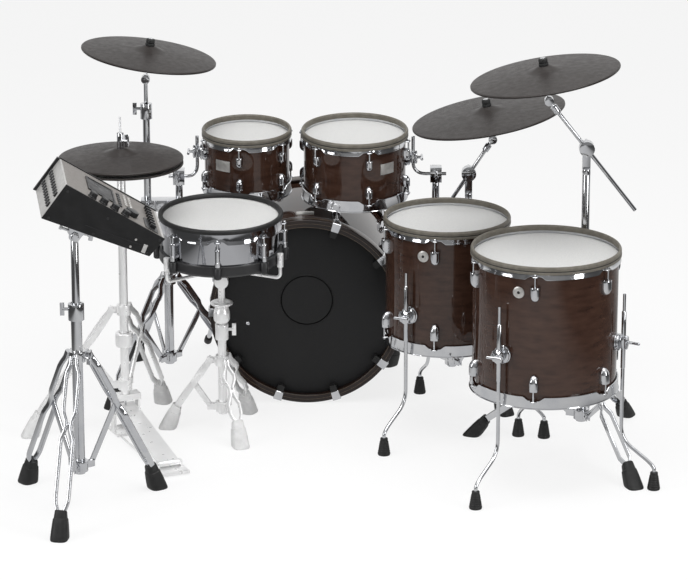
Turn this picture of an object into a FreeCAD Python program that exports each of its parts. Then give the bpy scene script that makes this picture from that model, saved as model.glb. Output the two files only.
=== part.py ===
import FreeCAD, Part
import math
import os
import Sketcher
from types import SimpleNamespace

# Electronic drum kit: five mesh-head drums, a snare, five cymbal pads, a sound module and their stands.
# Millimetres, Z up, the drummer on the -Y side. The origin lies on the floor, in the middle of the kit.

Vector = FreeCAD.Vector

# Driving sizes. Places on the floor are measured from the point under the kick's batter hoop.
SIZES = [
    ("kick_x", -80, "place of the kick in the kit's frame"),
    ("kick_y", 273.6, ""),
    ("play", 0.3, "clearance of a sliding or turning fit"),
    ("snug", 0.2, "clearance of a fixed fit"),
    # Kick drum
    ("kick_radius", 279.4, "outside of the shell"),
    ("kick_wall", 8, ""),
    ("kick_depth", 390, ""),
    ("kick_rise", 2.2, "degrees that the far end is raised by its spurs"),
    ("kick_hoop_gap", 2, "between shell and wooden hoop"),
    ("kick_hoop_wall", 8.6, ""),
    ("kick_hoop_out", 22, "hoop in front of the shell's edge"),
    ("kick_hoop_lap", 18, "hoop over the shell"),
    ("kick_head_thick", 3, ""),
    ("kick_pad_radius", 79, "striking pad on the batter head"),
    ("kick_pad_thick", 4, ""),
    ("kick_pad_up", 32, "pad above the middle of the head"),
    ("kick_lug_count", 10, ""),
    ("claw_width", 30, ""),
    ("claw_thick", 4, ""),
    ("claw_grip", 20, "claw down the face of the hoop"),
    ("claw_back", 8, "claw's eye behind the hoop"),
    ("kick_rod_radius", 3.5, ""),
    ("kick_rod_show", 62, "tension rod between claw and lug"),
    ("kick_lug_length", 48, ""),
    ("kick_lug_width", 26, ""),
    ("kick_lug_out", 15, ""),
    ("kick_foam_radius", 75, "foam block of the kick's sensor"),
    ("kick_foam_depth", 42, ""),
    ("kick_beam_width", 60, "plate that carries the sensor"),
    ("kick_beam_thick", 8, ""),
    ("kick_vent_radius", 8, ""),
    ("spur_back", 60, "spur's bracket from the far edge"),
    ("spur_low", 20, "degrees of the bracket below the shell's middle"),
    ("spur_plate", 8, "thickness of the bracket"),
    ("spur_plate_radius", 26, ""),
    ("spur_head", 18, "thickness of the turning head"),
    ("spur_head_radius", 18, ""),
    ("spur_radius", 7, ""),
    ("spur_pitch", 49, "degrees from straight down"),
    ("spur_spread", 11, "degrees outwards"),
    ("spur_tip_radius", 12, ""),
    ("spur_tip", 30, ""),
    # Mesh-head toms: what all four have alike
    ("shell_wall", 6.4, ""),
    ("head_thick", 2.5, ""),
    ("head_lap", 1.6, "head past the shell's edge"),
    ("hoop_gap", 2, "between shell and steel hoop"),
    ("hoop_wall", 4, ""),
    ("hoop_lap", 22, "hoop's skirt over the shell"),
    ("hoop_rise", 20, "top hoop above the shell's edge"),
    ("hoop_low", 14, "bottom hoop below the shell's lower edge"),
    ("notch_deep", 10, "notch in the skirt at each rod"),
    ("notch_wide", 62, "notch at the skirt's edge"),
    ("notch_narrow", 26, "notch at its inner end"),
    ("ear_reach", 19, "hoop's ears out from the shell"),
    ("ear_width", 20, ""),
    ("ear_thick", 3, ""),
    ("rim_over", 26, "rubber rim above the shell's edge"),
    ("rim_under", 4, "rubber rim below the shell's edge"),
    ("rim_reach", 7.8, "rubber rim out from the shell"),
    ("rim_inside", 2, "rubber rim in from the shell's outside"),
    ("rim_lip", 8, "inner lip of the rim above the shell's edge"),
    ("tension_out", 13, "tension rods out from the shell"),
    ("tension_radius", 3, ""),
    ("tension_key_radius", 4.4, ""),
    ("tension_key", 6, "square head of a tension rod"),
    ("sensor_beam_width", 30, ""),
    ("sensor_beam_thick", 6, ""),
    ("sensor_drop", 36, "sensor beam below the head"),
    ("cone_base", 20, "foam cone of the sensor"),
    ("cone_tip", 8, ""),
    ("bracket_radius", 24, "round brackets of legs and arms"),
    ("bracket_reach", 34, "bracket out from the shell"),
    ("rack_lug_width", 21, ""),
    ("rack_lug_tall", 36, ""),
    ("rack_lug_count", 6, ""),
    ("rack_rod_show", 20, ""),
    ("floor_lug_width", 28, ""),
    ("floor_lug_tall", 51, ""),
    ("floor_lug_count", 6, ""),
    ("floor_rod_show", 38, ""),
    ("lug_out", 8, "middle of a lug's round front from the shell"),
    # Rack toms on their bent arms
    ("arm_radius", 5.25, ""),
    ("arm_out", 22, "upright of the arm from the shell"),
    ("arm_bend", 22, ""),
    ("arm_bracket_z", 108, "middle of the tom bracket above the shell's lower edge"),
    ("arm_clamp_width", 34, "clamp along the arm"),
    ("arm_clamp_deep", 40, ""),
    ("arm_clamp_tall", 44, ""),
    ("arm_past", 14, "arm past its clamp"),
    ("tom_tilt", 3, "degrees towards the drummer"),
    ("tom_10_radius", 127, ""),
    ("tom_10_depth", 158, ""),
    ("tom_10_x", -180, ""),
    ("tom_10_y", 177, ""),
    ("tom_10_over", 53, "shell's lower edge above the kick's hoops"),
    ("tom_10_turn", -98, "azimuth of a lug"),
    ("tom_10_arm_z", 30, "arm above the shell's lower edge"),
    ("tom_10_arm_x", -385, "post that carries the arm"),
    ("tom_12_radius", 152.4, ""),
    ("tom_12_depth", 173, ""),
    ("tom_12_x", 143, ""),
    ("tom_12_y", 150, ""),
    ("tom_12_over", 43, ""),
    ("tom_12_turn", -75, ""),
    ("tom_12_arm_z", 56, ""),
    ("tom_12_arm_x", 386, ""),
    # Floor toms on three legs each
    ("leg_radius", 5, ""),
    ("leg_out", 22, "leg from the shell"),
    ("leg_top", 229, "leg's top above the shell's lower edge"),
    ("leg_bracket_z", 117, "middle of a leg bracket above the shell's lower edge"),
    ("leg_straight", 232, "leg from its top to the bend"),
    ("leg_bend", 45, ""),
    ("leg_slant", 42, "degrees of the slanting stretch"),
    ("leg_shift", 105, "foot out from the upper stretch"),
    ("leg_twist_a", 0, "degrees that each leg is turned in its bracket"),
    ("leg_twist_b", -14, ""),
    ("leg_twist_c", 0, ""),
    ("leg_foot_base", 18.5, ""),
    ("leg_foot_neck", 10.5, ""),
    ("leg_foot_tall", 52, ""),
    ("leg_foot_round", 4, ""),
    ("floor_tom_14_radius", 177.8, ""),
    ("floor_tom_14_depth", 338, ""),
    ("floor_tom_14_x", 410, ""),
    ("floor_tom_14_y", -197, ""),
    ("floor_tom_14_z", 288, "shell's lower edge above the floor"),
    ("floor_tom_14_turn", -102, ""),
    ("floor_tom_14_leg_a", -127, "azimuths of the legs"),
    ("floor_tom_14_leg_b", -14, ""),
    ("floor_tom_14_leg_c", 103, ""),
    ("floor_tom_16_radius", 203.2, ""),
    ("floor_tom_16_depth", 372, ""),
    ("floor_tom_16_x", 674, ""),
    ("floor_tom_16_y", -605, ""),
    ("floor_tom_16_z", 283, ""),
    ("floor_tom_16_turn", -101, ""),
    ("floor_tom_16_leg_a", -127, ""),
    ("floor_tom_16_leg_b", -16, ""),
    ("floor_tom_16_leg_c", 99, ""),
    # Snare: a shallow metal shell on a plastic base
    ("snare_x", -246, ""),
    ("snare_y", -222, ""),
    ("snare_z", 527, "underside of the base above the floor"),
    ("snare_tilt", 2, "degrees towards the drummer"),
    ("snare_radius", 172, ""),
    ("snare_wall", 4, ""),
    ("snare_base_reach", 8, "base out from the shell"),
    ("snare_base_tall", 34, ""),
    ("snare_base_floor", 4, ""),
    ("snare_base_ledge", 16, ""),
    ("snare_shell_tall", 87, ""),
    ("snare_rim_reach", 13, "rubber rim out from the shell"),
    ("snare_hoop_lap", 24, "hoop's skirt over the shell"),
    ("snare_lug_count", 8, ""),
    ("snare_tube_radius", 8, "tube lug"),
    ("snare_tube_out", 13, ""),
    ("snare_tube_tall", 48, ""),
    ("snare_tube_low", 8, "tube lug above the base"),
    ("snare_foot_tall", 10, "foot of a tube lug on the shell"),
    ("snare_turn", -91, ""),
    ("snare_boss", 12, "round bosses of the base under the tube lugs"),
    ("snare_cone", 16, ""),
    # Tripods
    ("pivot_out", 36, "leg and brace pivots from the tube's middle"),
    ("bar_width", 18, ""),
    ("bar_thick", 4, ""),
    ("bar_gap", 6, "between the two bars of a leg, at its pivots"),
    ("bar_bow", 28, "between the bars where they bow apart"),
    ("bar_flat", 13, "straight stretch of the bars past a pivot"),
    ("bar_ramp", 24, ""),
    ("brace_width", 16, ""),
    ("collar_wall", 8, ""),
    ("collar_tall", 30, ""),
    ("ear_tall", 20, ""),
    ("fork_thick", 3, ""),
    ("boot_length", 62, ""),
    ("boot_width", 40, ""),
    ("boot_thick", 30, ""),
    ("boot_toe", 20, "boot past the foot's place"),
    ("boot_heel", 24, ""),
    ("boot_toe_tall", 10, ""),
    ("boot_axis_z", 16, "leg's middle line above the floor at the foot"),
    ("wing_span", 36, ""),
    ("wing_deep", 12, ""),
    ("wing_thick", 6, ""),
    ("wing_stem_radius", 4.5, ""),
    ("wing_stem", 16, ""),
    # Stand with crash and small tom
    ("left_stand_x", -421, ""),
    ("left_stand_y", 177, ""),
    ("left_stand_tube", 14, "radius"),
    ("left_stand_hub", 93, ""),
    ("left_stand_collar", 341, ""),
    ("left_stand_foot", 275, "feet from the tube's middle"),
    ("left_stand_leg_a", 233, "azimuths of the legs"),
    ("left_stand_leg_b", 117, ""),
    ("left_stand_leg_c", 44, ""),
    # Stand with ride and large tom
    ("right_stand_x", 440, ""),
    ("right_stand_y", 150, ""),
    ("right_stand_tube", 14, ""),
    ("right_stand_hub", 93, ""),
    ("right_stand_collar", 341, ""),
    ("right_stand_foot", 294, ""),
    ("right_stand_leg_a", -58, ""),
    ("right_stand_leg_b", 58, ""),
    ("right_stand_leg_c", 132, ""),
    # Holder on both of these stands
    ("holder_z", 575, "middle of the holder"),
    ("holder_tall", 34, ""),
    ("holder_deep", 44, ""),
    ("holder_past", 20, "holder past the outer tube's middle"),
    ("post_radius", 11, "tubes above the holder"),
    # Stand with the second crash
    ("front_stand_x", 797, ""),
    ("front_stand_y", -397, ""),
    ("front_stand_tube", 14.3, ""),
    ("front_stand_hub", 112, ""),
    ("front_stand_collar", 250, ""),
    ("front_stand_foot", 342, ""),
    ("front_stand_leg_a", 158, ""),
    ("front_stand_leg_b", 62, ""),
    ("front_stand_leg_c", -67, ""),
    ("front_stand_top", 600, ""),
    ("front_tube_radius", 11.5, "sliding tube"),
    ("front_tube_low", 330, ""),
    # Module stand
    ("module_stand_x", -619, ""),
    ("module_stand_y", -851, ""),
    ("module_stand_tube", 15, ""),
    ("module_stand_hub", 121, ""),
    ("module_stand_collar", 440, ""),
    ("module_stand_foot", 258, ""),
    ("module_stand_leg_a", 131, ""),
    ("module_stand_leg_b", 35, ""),
    ("module_stand_leg_c", -99, ""),
    ("module_stand_top", 575, ""),
    ("module_tube_radius", 11, ""),
    ("module_tube_low", 380, ""),
    ("tube_wall", 2.5, "wall of the sliding tubes"),
    ("tube_below", 22, "tube's end below the hub's middle"),
    ("grip_wall", 7, "clamp round a sliding tube"),
    ("grip_lap", 30, "clamp over the fixed tube"),
    ("grip_over", 16, "clamp above the fixed tube"),
    # Cymbal pads
    ("cymbal_hole", 6.5, ""),
    ("cymbal_thick", 6, ""),
    ("bell_radius", 58, ""),
    ("bell_flat", 17, "flat seat for the felts"),
    ("bell_rise", 13, ""),
    ("bell_curve", 84, ""),
    ("bow_rise", 14, ""),
    ("bow_curve", 900, ""),
    ("felt_radius", 14, ""),
    ("felt_thick", 8, ""),
    ("felt_bore", 5.5, ""),
    ("sway_gap", 0.8, "play of a felt, which lets the cymbal sway"),
    ("seat_radius", 7, ""),
    ("seat_tall", 10, ""),
    ("stem_radius", 4, ""),
    ("nut_radius", 8, ""),
    ("nut_tall", 14, ""),
    ("tilter_rim", 70, "cymbal's rim above the tilter's axis"),
    ("tilter_radius", 13, ""),
    ("tilter_length", 26, ""),
    ("crash_radius", 202, ""),
    ("second_crash_radius", 213, ""),
    ("ride_radius", 231, ""),
    # First crash on its straight rod
    ("crash_x", -480, ""),
    ("crash_rod_radius", 6.35, ""),
    ("crash_tube_top", 872, ""),
    ("crash_rod_low", 700, ""),
    ("crash_tilter_z", 963, ""),
    ("crash_roll", 8.3, "degrees, right side down"),
    # Booms
    ("boom_radius", 6, ""),
    ("boom_disc_radius", 22, ""),
    ("boom_disc_thick", 14, ""),
    ("boom_neck", 52, "tube's top below the boom's disc"),
    ("boom_foot", 16, ""),
    ("ride_tube_x", 485, ""),
    ("ride_pivot_z", 677, ""),
    ("ride_boom_slope", 57, ""),
    ("ride_boom_tail", 88, ""),
    ("ride_boom_head", 129, ""),
    ("ride_roll", -10.5, "degrees, right side up"),
    ("second_pivot_z", 903, ""),
    ("second_boom_slope", 128, ""),
    ("second_boom_tail", 228, ""),
    ("second_boom_head", 178, ""),
    ("second_roll", -9.4, ""),
    ("boom_stop_radius", 10, "rubber collar on the boom"),
    ("boom_stop_length", 22, ""),
    ("boom_stop_back", 42, "collar from the tilter"),
    # Hi-hat with its pedal
    ("hihat_x", -530, ""),
    ("hihat_y", -250, ""),
    ("hihat_z", 828, "between the two pads"),
    ("hihat_open", 8, "gap between the pads' rims"),
    ("hihat_radius", 180, ""),
    ("hihat_turn", -66, "azimuth of the pedal"),
    ("hihat_tube", 12.5, ""),
    ("hihat_bore", 9, ""),
    ("hihat_rod", 3, ""),
    ("hihat_rod_top", 958, ""),
    ("hihat_hub", 150, ""),
    ("hihat_collar", 380, ""),
    ("hihat_foot", 290, ""),
    ("hihat_leg_a", 70, ""),
    ("hihat_leg_b", 187, ""),
    ("clutch_radius", 10, ""),
    ("clutch_tall", 46, ""),
    ("pedal_width", 84, ""),
    ("pedal_plate", 8, ""),
    ("pedal_pad", 4, "rubber under the plates"),
    ("pedal_base_front", 42, ""),
    ("pedal_base_back", 40, ""),
    ("pedal_post_deep", 24, ""),
    ("pedal_post_thick", 8, ""),
    ("pedal_bridge_z", 104, "underside of the bridge that carries the tube"),
    ("pedal_bridge_tall", 18, ""),
    ("heel_near", 335, "heel plate from the tube"),
    ("heel_far", 405, ""),
    ("heel_pin_x", 350, ""),
    ("heel_pin_z", 24, ""),
    ("heel_ear_thick", 6, ""),
    ("heel_ear_long", 18, ""),
    ("board_width", 62, ""),
    ("board_thick", 6, ""),
    ("board_toe", 372, "footboard from pin to toe"),
    ("board_heel", 12, ""),
    ("board_slope", 9.5, ""),
    ("board_pin_radius", 6, ""),
    ("pedal_link_radius", 3, "rods between base and heel"),
    ("pedal_link_out", 34, ""),
    # Snare stand
    ("snare_stand_tube", 12.5, ""),
    ("snare_stand_hub", 72, ""),
    ("snare_stand_collar", 215, ""),
    ("snare_stand_foot", 172, ""),
    ("snare_stand_leg_a", 64, ""),
    ("snare_stand_leg_b", 176, ""),
    ("snare_stand_leg_c", -70, ""),
    ("snare_stand_top", 310, ""),
    ("snare_post_radius", 10, ""),
    ("snare_bulb_radius", 20, "tilter under the basket"),
    ("basket_hub", 24, ""),
    ("basket_hub_tall", 30, ""),
    ("basket_drop", 34, "basket's hub below the snare"),
    ("basket_arm", 5, ""),
    ("basket_bend", 14, ""),
    ("basket_grip", 9, "rubber grip radius"),
    ("basket_grip_tall", 40, ""),
    ("basket_turn", 67.5, "degrees from the first tube lug to the first arm"),
    ("basket_arm_count", 3, ""),
    # Sound module, tilted down to the drummer's right hand
    ("module_yaw", 8, ""),
    ("module_tilt", 22.4, ""),
    ("module_pivot_z", 790, ""),
    ("module_back", 120, "rear lower edge behind the pivot"),
    ("module_over", 39, "underside above the pivot"),
    ("module_length", 309, ""),
    ("module_rear_tall", 107, ""),
    ("module_rear_lean", 29, ""),
    ("module_front_tall", 57, ""),
    ("module_front_lean", 22, ""),
    ("module_width", 280, ""),
    ("cheek_thick", 6, "side panels"),
    ("cheek_proud", 3, "side panels above the control panel"),
    ("mount_plate", 5, ""),
    ("mount_length", 96, ""),
    ("mount_width", 70, ""),
    ("mount_ear_thick", 8, ""),
    ("mount_ear_gap", 34, ""),
    ("mount_ball", 15, "clamp head on the tube"),
    ("mount_neck", 10, ""),
    ("screen_length", 74, ""),
    ("screen_width", 116, ""),
    ("screen_thick", 3, ""),
    ("screen_along", 118, "middle of the screen from the rear edge of the panel"),
    ("screen_across", 20, ""),
    ("knob_radius", 11, ""),
    ("knob_tall", 15, ""),
    ("knob_count", 4, ""),
    ("knob_first", 82, ""),
    ("knob_step", 34, ""),
    ("knob_across", -112, ""),
    ("key_length", 9, "push keys"),
    ("key_width", 16, ""),
    ("key_tall", 4, ""),
    ("key_count", 6, ""),
    ("key_step", 22, ""),
    ("key_along", 172, ""),
    ("fader_length", 16, ""),
    ("fader_width", 8, ""),
    ("fader_tall", 12, ""),
    ("fader_count", 8, ""),
    ("fader_step", 26, ""),
    ("fader_along", 262, ""),
    ("dial_radius", 19, ""),
    ("dial_tall", 14, ""),
    ("dial_along", 205, ""),
    ("dial_across", -72, ""),
    ("jack_radius", 8, ""),
    ("jack_bore", 3.25, "radius of a socket for 6.35 mm plugs"),
    ("jack_out", 5, ""),
    ("jack_count", 9, ""),
    ("jack_step", 27, ""),
    ("jack_up", 36, "first row above the underside"),
    ("jack_row", 34, ""),
]

doc = FreeCAD.newDocument("drum_kit")
sheet = doc.addObject("Spreadsheet::Sheet", "Sizes")
for row, (name, number, note) in enumerate(SIZES, start=1):
    sheet.set(f"A{row}", name)
    sheet.set(f"B{row}", str(number))
    sheet.setAlias(f"B{row}", name)
    sheet.set(f"C{row}", note)
doc.recompute()


class Size:
    """A number together with the sheet formula that gives it."""

    def __init__(self, value, text):
        self.value = value
        self.text = text

    def joined(self, sign, other, value):
        return Size(value, f"({self.text} {sign} {other.text})")

    def __add__(self, other):
        other = sized(other)
        return self.joined("+", other, self.value + other.value)

    def __sub__(self, other):
        other = sized(other)
        return self.joined("-", other, self.value - other.value)

    def __mul__(self, other):
        other = sized(other)
        return self.joined("*", other, self.value * other.value)

    def __truediv__(self, other):
        other = sized(other)
        return self.joined("/", other, self.value / other.value)

    def __radd__(self, other):
        return sized(other) + self

    def __rsub__(self, other):
        return sized(other) - self

    def __rmul__(self, other):
        return sized(other) * self

    def __rtruediv__(self, other):
        return sized(other) / self

    def __neg__(self):
        return sized(0) - self


def sized(number):
    return number if isinstance(number, Size) else Size(float(number), f"({float(number)})")


def sine(angle):
    return Size(math.sin(math.radians(angle.value)), f"sin({angle.text})")


def cosine(angle):
    return Size(math.cos(math.radians(angle.value)), f"cos({angle.text})")


def root(number):
    return Size(math.sqrt(number.value), f"sqrt({number.text})")


def slope_of(rise, run):
    """Angle in degrees of a line with this rise and run."""
    angle = math.degrees(math.atan2(rise.value, run.value))
    return Size(angle, f"(atan2({rise.text}; {run.text}) / 1deg)")


d = SimpleNamespace(**{name: Size(float(number), f"Sizes.{name}") for name, number, note in SIZES})
zero = sized(0)
NODES = []


def of_piece(piece, name):
    """The size NAME of one of several like pieces, such as the depth of tom_10."""
    return getattr(d, f"{piece}_{name}")


def plan(piece):
    """Place of a piece on the floor."""
    return d.kick_x + of_piece(piece, "x"), d.kick_y + of_piece(piece, "y")


def bind(item, name, size):
    item.setExpression(name, sized(size).text)


def place(item, x=0, y=0, z=0, axis=(0, 0, 1), turn=0):
    """Put an object at x, y, z, turned about an axis by a number of degrees."""
    item.Placement = FreeCAD.Placement(Vector(), FreeCAD.Rotation(Vector(*axis), 1.0))
    for name, size in (("x", x), ("y", y), ("z", z)):
        bind(item, f"Placement.Base.{name}", size)
    bind(item, "Placement.Rotation.Angle", turn)
    return item


def group(name, items, x=0, y=0, z=0, axis=(0, 0, 1), turn=0):
    """Separate solids that keep their places to each other, put in place together."""
    item = doc.addObject("Part::Compound", name)
    item.Links = items
    return place(item, x, y, z, axis, turn)


def node(name, items, x=0, y=0, z=0, axis=(0, 0, 1), turn=0):
    """A group that is written to its own file."""
    item = group(name, items, x, y, z, axis, turn)
    item.Label = name
    NODES.append(item)
    return item


def fused(name, items):
    item = doc.addObject("Part::MultiFuse", name)
    item.Shapes = items
    return item


def rod(name, radius, length, x=0, y=0, z=0, axis=(0, 0, 1), turn=0):
    """Round bar from x, y, z along Z, or turned about an axis."""
    item = doc.addObject("Part::Cylinder", name)
    bind(item, "Radius", radius)
    bind(item, "Height", length)
    return place(item, x, y, z, axis, turn)


def block(name, length, width, height, x, y, z):
    """Block on x, middle of y and z: it starts at x and z and is centred across y."""
    item = doc.addObject("Part::Box", name)
    bind(item, "Length", length)
    bind(item, "Width", width)
    bind(item, "Height", height)
    return place(item, x, sized(y) - sized(width) / 2, z)


def origin_of(body, role):
    return next(feature for feature in body.Origin.OriginFeatures if feature.Role == role)


def new_body(name):
    body = doc.addObject("PartDesign::Body", name)
    body.AllowCompound = True
    return body


def new_sketch(body, plane, rise=None):
    sketch = body.newObject("Sketcher::SketchObject", f"{body.Name}_sketch")
    sketch.AttachmentSupport = [(origin_of(body, plane), "")]
    sketch.MapMode = "FlatFace"
    if rise is not None:
        bind(sketch, "AttachmentOffset.Base.z", rise)
    return sketch


def hold_point(sketch, index, end, x, y):
    """Tie a point of the sketch to sizes of the sheet."""
    for kind, size in (("DistanceX", sized(x)), ("DistanceY", sized(y))):
        number = sketch.addConstraint(Sketcher.Constraint(kind, -1, 1, index, end, size.value))
        sketch.setExpression(f"Constraints[{number}]", size.text)


def arc_between(start, end, radius):
    """Arc from start to end; it turns left for a positive radius and right for a negative one."""
    chord = end - start
    half = chord.Length / 2
    size = abs(radius)
    side = Vector(-chord.y, chord.x, 0).normalize()
    sign = 1 if radius > 0 else -1
    centre = start + chord / 2 + side * (sign * math.sqrt(max(size * size - half * half, 0)))
    middle = centre - side * (sign * size)
    return Part.Arc(start, middle, end)


def hold_bow(sketch, index, start, end):
    """Tie an arc between held ends by one coordinate of its centre."""
    run, rise = sized(end[0]) - start[0], sized(end[1]) - start[1]
    upright = abs(rise.value) > abs(run.value)
    size = (start[0] + run / 2) if upright else (start[1] + rise / 2)
    radius = start[2]
    chord = root(run * run + rise * rise)
    if not math.isclose(chord.value, abs(radius.value) * 2, rel_tol=1e-6):
        set_back = root(radius * radius - chord * chord / 4) / chord * (1 if radius.value > 0 else -1)
        size = (size - rise * set_back) if upright else (size + run * set_back)
    kind = "DistanceX" if upright else "DistanceY"
    held = sketch.addConstraint(Sketcher.Constraint(kind, -1, 1, index, 3, size.value))
    sketch.setExpression(f"Constraints[{held}]", size.text)


def draw(sketch, corners, closed=True):
    """Outline through corners (x, y) or (x, y, radius), where radius bows the side that follows."""
    points = [Vector(sized(corner[0]).value, sized(corner[1]).value, 0) for corner in corners]
    sides = len(corners) if closed else len(corners) - 1
    first = sketch.GeometryCount
    ends = []
    for number in range(sides):
        start, end = points[number], points[(number + 1) % len(points)]
        bowed = len(corners[number]) == 3
        curve = arc_between(start, end, corners[number][2].value) if bowed else Part.LineSegment(start, end)
        index = sketch.addGeometry(curve, False)
        gaps = [(sketch.getPoint(index, which) - start).Length for which in (1, 2)]
        ends.append((1, 2) if gaps[0] < gaps[1] else (2, 1))
    for number in range(sides):
        follows = (number + 1) % sides
        if closed or follows:
            pair = (first + number, ends[number][1], first + follows, ends[follows][0])
            sketch.addConstraint(Sketcher.Constraint("Coincident", *pair))
    for number in range(sides):
        hold_point(sketch, first + number, ends[number][0], corners[number][0], corners[number][1])
        if len(corners[number]) == 3:
            hold_bow(sketch, first + number, corners[number], corners[(number + 1) % len(corners)])
    if not closed:
        hold_point(sketch, first + sides - 1, ends[-1][1], corners[-1][0], corners[-1][1])


def draw_circle(sketch, x, y, radius):
    centre = Vector(sized(x).value, sized(y).value, 0)
    number = sketch.addGeometry(Part.Circle(centre, Vector(0, 0, 1), sized(radius).value), False)
    hold_point(sketch, number, 3, x, y)
    held = sketch.addConstraint(Sketcher.Constraint("Radius", number, sized(radius).value))
    sketch.setExpression(f"Constraints[{held}]", sized(radius).text)


def revolved(name, corners):
    """Round piece about Z with this outline, each corner a radius and a height."""
    body = new_body(name)
    sketch = new_sketch(body, "XZ_Plane")
    draw(sketch, corners)
    turned = body.newObject("PartDesign::Revolution", f"{name}_turned")
    turned.Profile = sketch
    turned.ReferenceAxis = (sketch, ["V_Axis"])
    turned.Angle = 360
    return body


def ring(name, inside, outside, low, high):
    return revolved(name, [(inside, low), (outside, low), (outside, high), (inside, high)])


def add_pad(body, corners, low, height, circles=(), plane="XY_Plane", middle=False):
    """Flat piece with this outline; circles inside the outline are holes."""
    sketch = new_sketch(body, plane, low)
    if corners:
        draw(sketch, corners)
    for circle in circles:
        draw_circle(sketch, *circle)
    pad = body.newObject("PartDesign::Pad", f"{body.Name}_pad")
    pad.Profile = sketch
    bind(pad, "Length", height)
    pad.SideType = "Symmetric" if middle else "One side"
    return pad


def polar(body, features, count):
    """Copies of features evenly round Z."""
    pattern = body.newObject("PartDesign::PolarPattern", f"{body.Name}_round")
    pattern.Originals = features
    pattern.Axis = (origin_of(body, "Z_Axis"), [""])
    pattern.Angle = 360
    bind(pattern, "Occurrences", count)
    body.Tip = pattern
    return pattern


def pipe(name, corners, radius):
    """Bent round bar: it starts at the origin along Z, and its path lies in the XZ plane."""
    body = new_body(name)
    path = new_sketch(body, "XZ_Plane")
    draw(path, corners, closed=False)
    section = new_sketch(body, "XY_Plane")
    draw_circle(section, 0, 0, radius)
    doc.recompute()
    swept = body.newObject("PartDesign::AdditivePipe", f"{name}_swept")
    swept.Profile = section
    swept.Spine = (path, [])
    return body


def seated(radius, width, reach):
    """Plan of a piece that sits on a round shell: a bowed back, straight sides and a flat front."""
    back = root(radius * radius - width * width / 4)
    return [(back, -width / 2), (reach, -width / 2), (reach, width / 2), (back, width / 2, -radius)]


def rounded(radius, width, reach):
    """As seated, with a half-round front whose middle is at reach."""
    back = root(radius * radius - width * width / 4)
    half = width / 2
    return [(back, -half), (reach, -half, half), (reach, half), (back, half, -radius)]


def eared_hoop(name, radius, tension, edge, far, way, count):
    """Steel hoop round a shell: its skirt ends at edge, with a notch and an ear for each tension rod, and way
    points from there to its far edge. Also gives the side of the ears that the rods come in at."""
    inside = radius + d.hoop_gap
    outside = inside + d.hoop_wall
    low, high = (edge, far) if way > 0 else (far, edge)
    hoop = ring(name, inside, outside, low, high)
    end = edge + d.notch_deep * way
    outline = [(-d.notch_wide / 2, edge - d.ear_thick * way), (d.notch_wide / 2, edge - d.ear_thick * way),
               (d.notch_wide / 2, edge), (d.notch_narrow / 2, end), (-d.notch_narrow / 2, end),
               (-d.notch_wide / 2, edge)]
    sketch = new_sketch(hoop, "YZ_Plane")
    draw(sketch, outline)
    notch = hoop.newObject("PartDesign::Pocket", f"{name}_notch")
    notch.Profile = sketch
    notch.Type = "ThroughAll"
    notch.Reversed = True
    polar(hoop, [notch], count)
    ear_plan = seated(inside, d.ear_width, radius + d.ear_reach)
    ear_low = end if way > 0 else end - d.ear_thick
    ear = add_pad(hoop, ear_plan, ear_low, d.ear_thick, [(tension, zero, d.tension_radius + d.play)])
    polar(hoop, [ear], count)
    return hoop, end


def round_bracket(name, radius, z, bore_x, bore):
    """Round boss on a shell, pointing out along X, with an upright bore."""
    boss = rod(f"{name}_boss", d.bracket_radius, d.bracket_reach * 2, radius - d.bracket_reach, 0, z,
               (0, 1, 0), 90)
    inside = rod(f"{name}_inside", radius, d.bracket_radius * 4, z=z - d.bracket_radius * 2)
    hole = rod(f"{name}_bore", bore, d.bracket_radius * 4, bore_x, 0, z - d.bracket_radius * 2)
    bracket = doc.addObject("Part::Cut", name)
    bracket.Base = boss
    bracket.Tool = fused(f"{name}_room", [inside, hole])
    return group(f"{name}_placed", [bracket])


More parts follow.
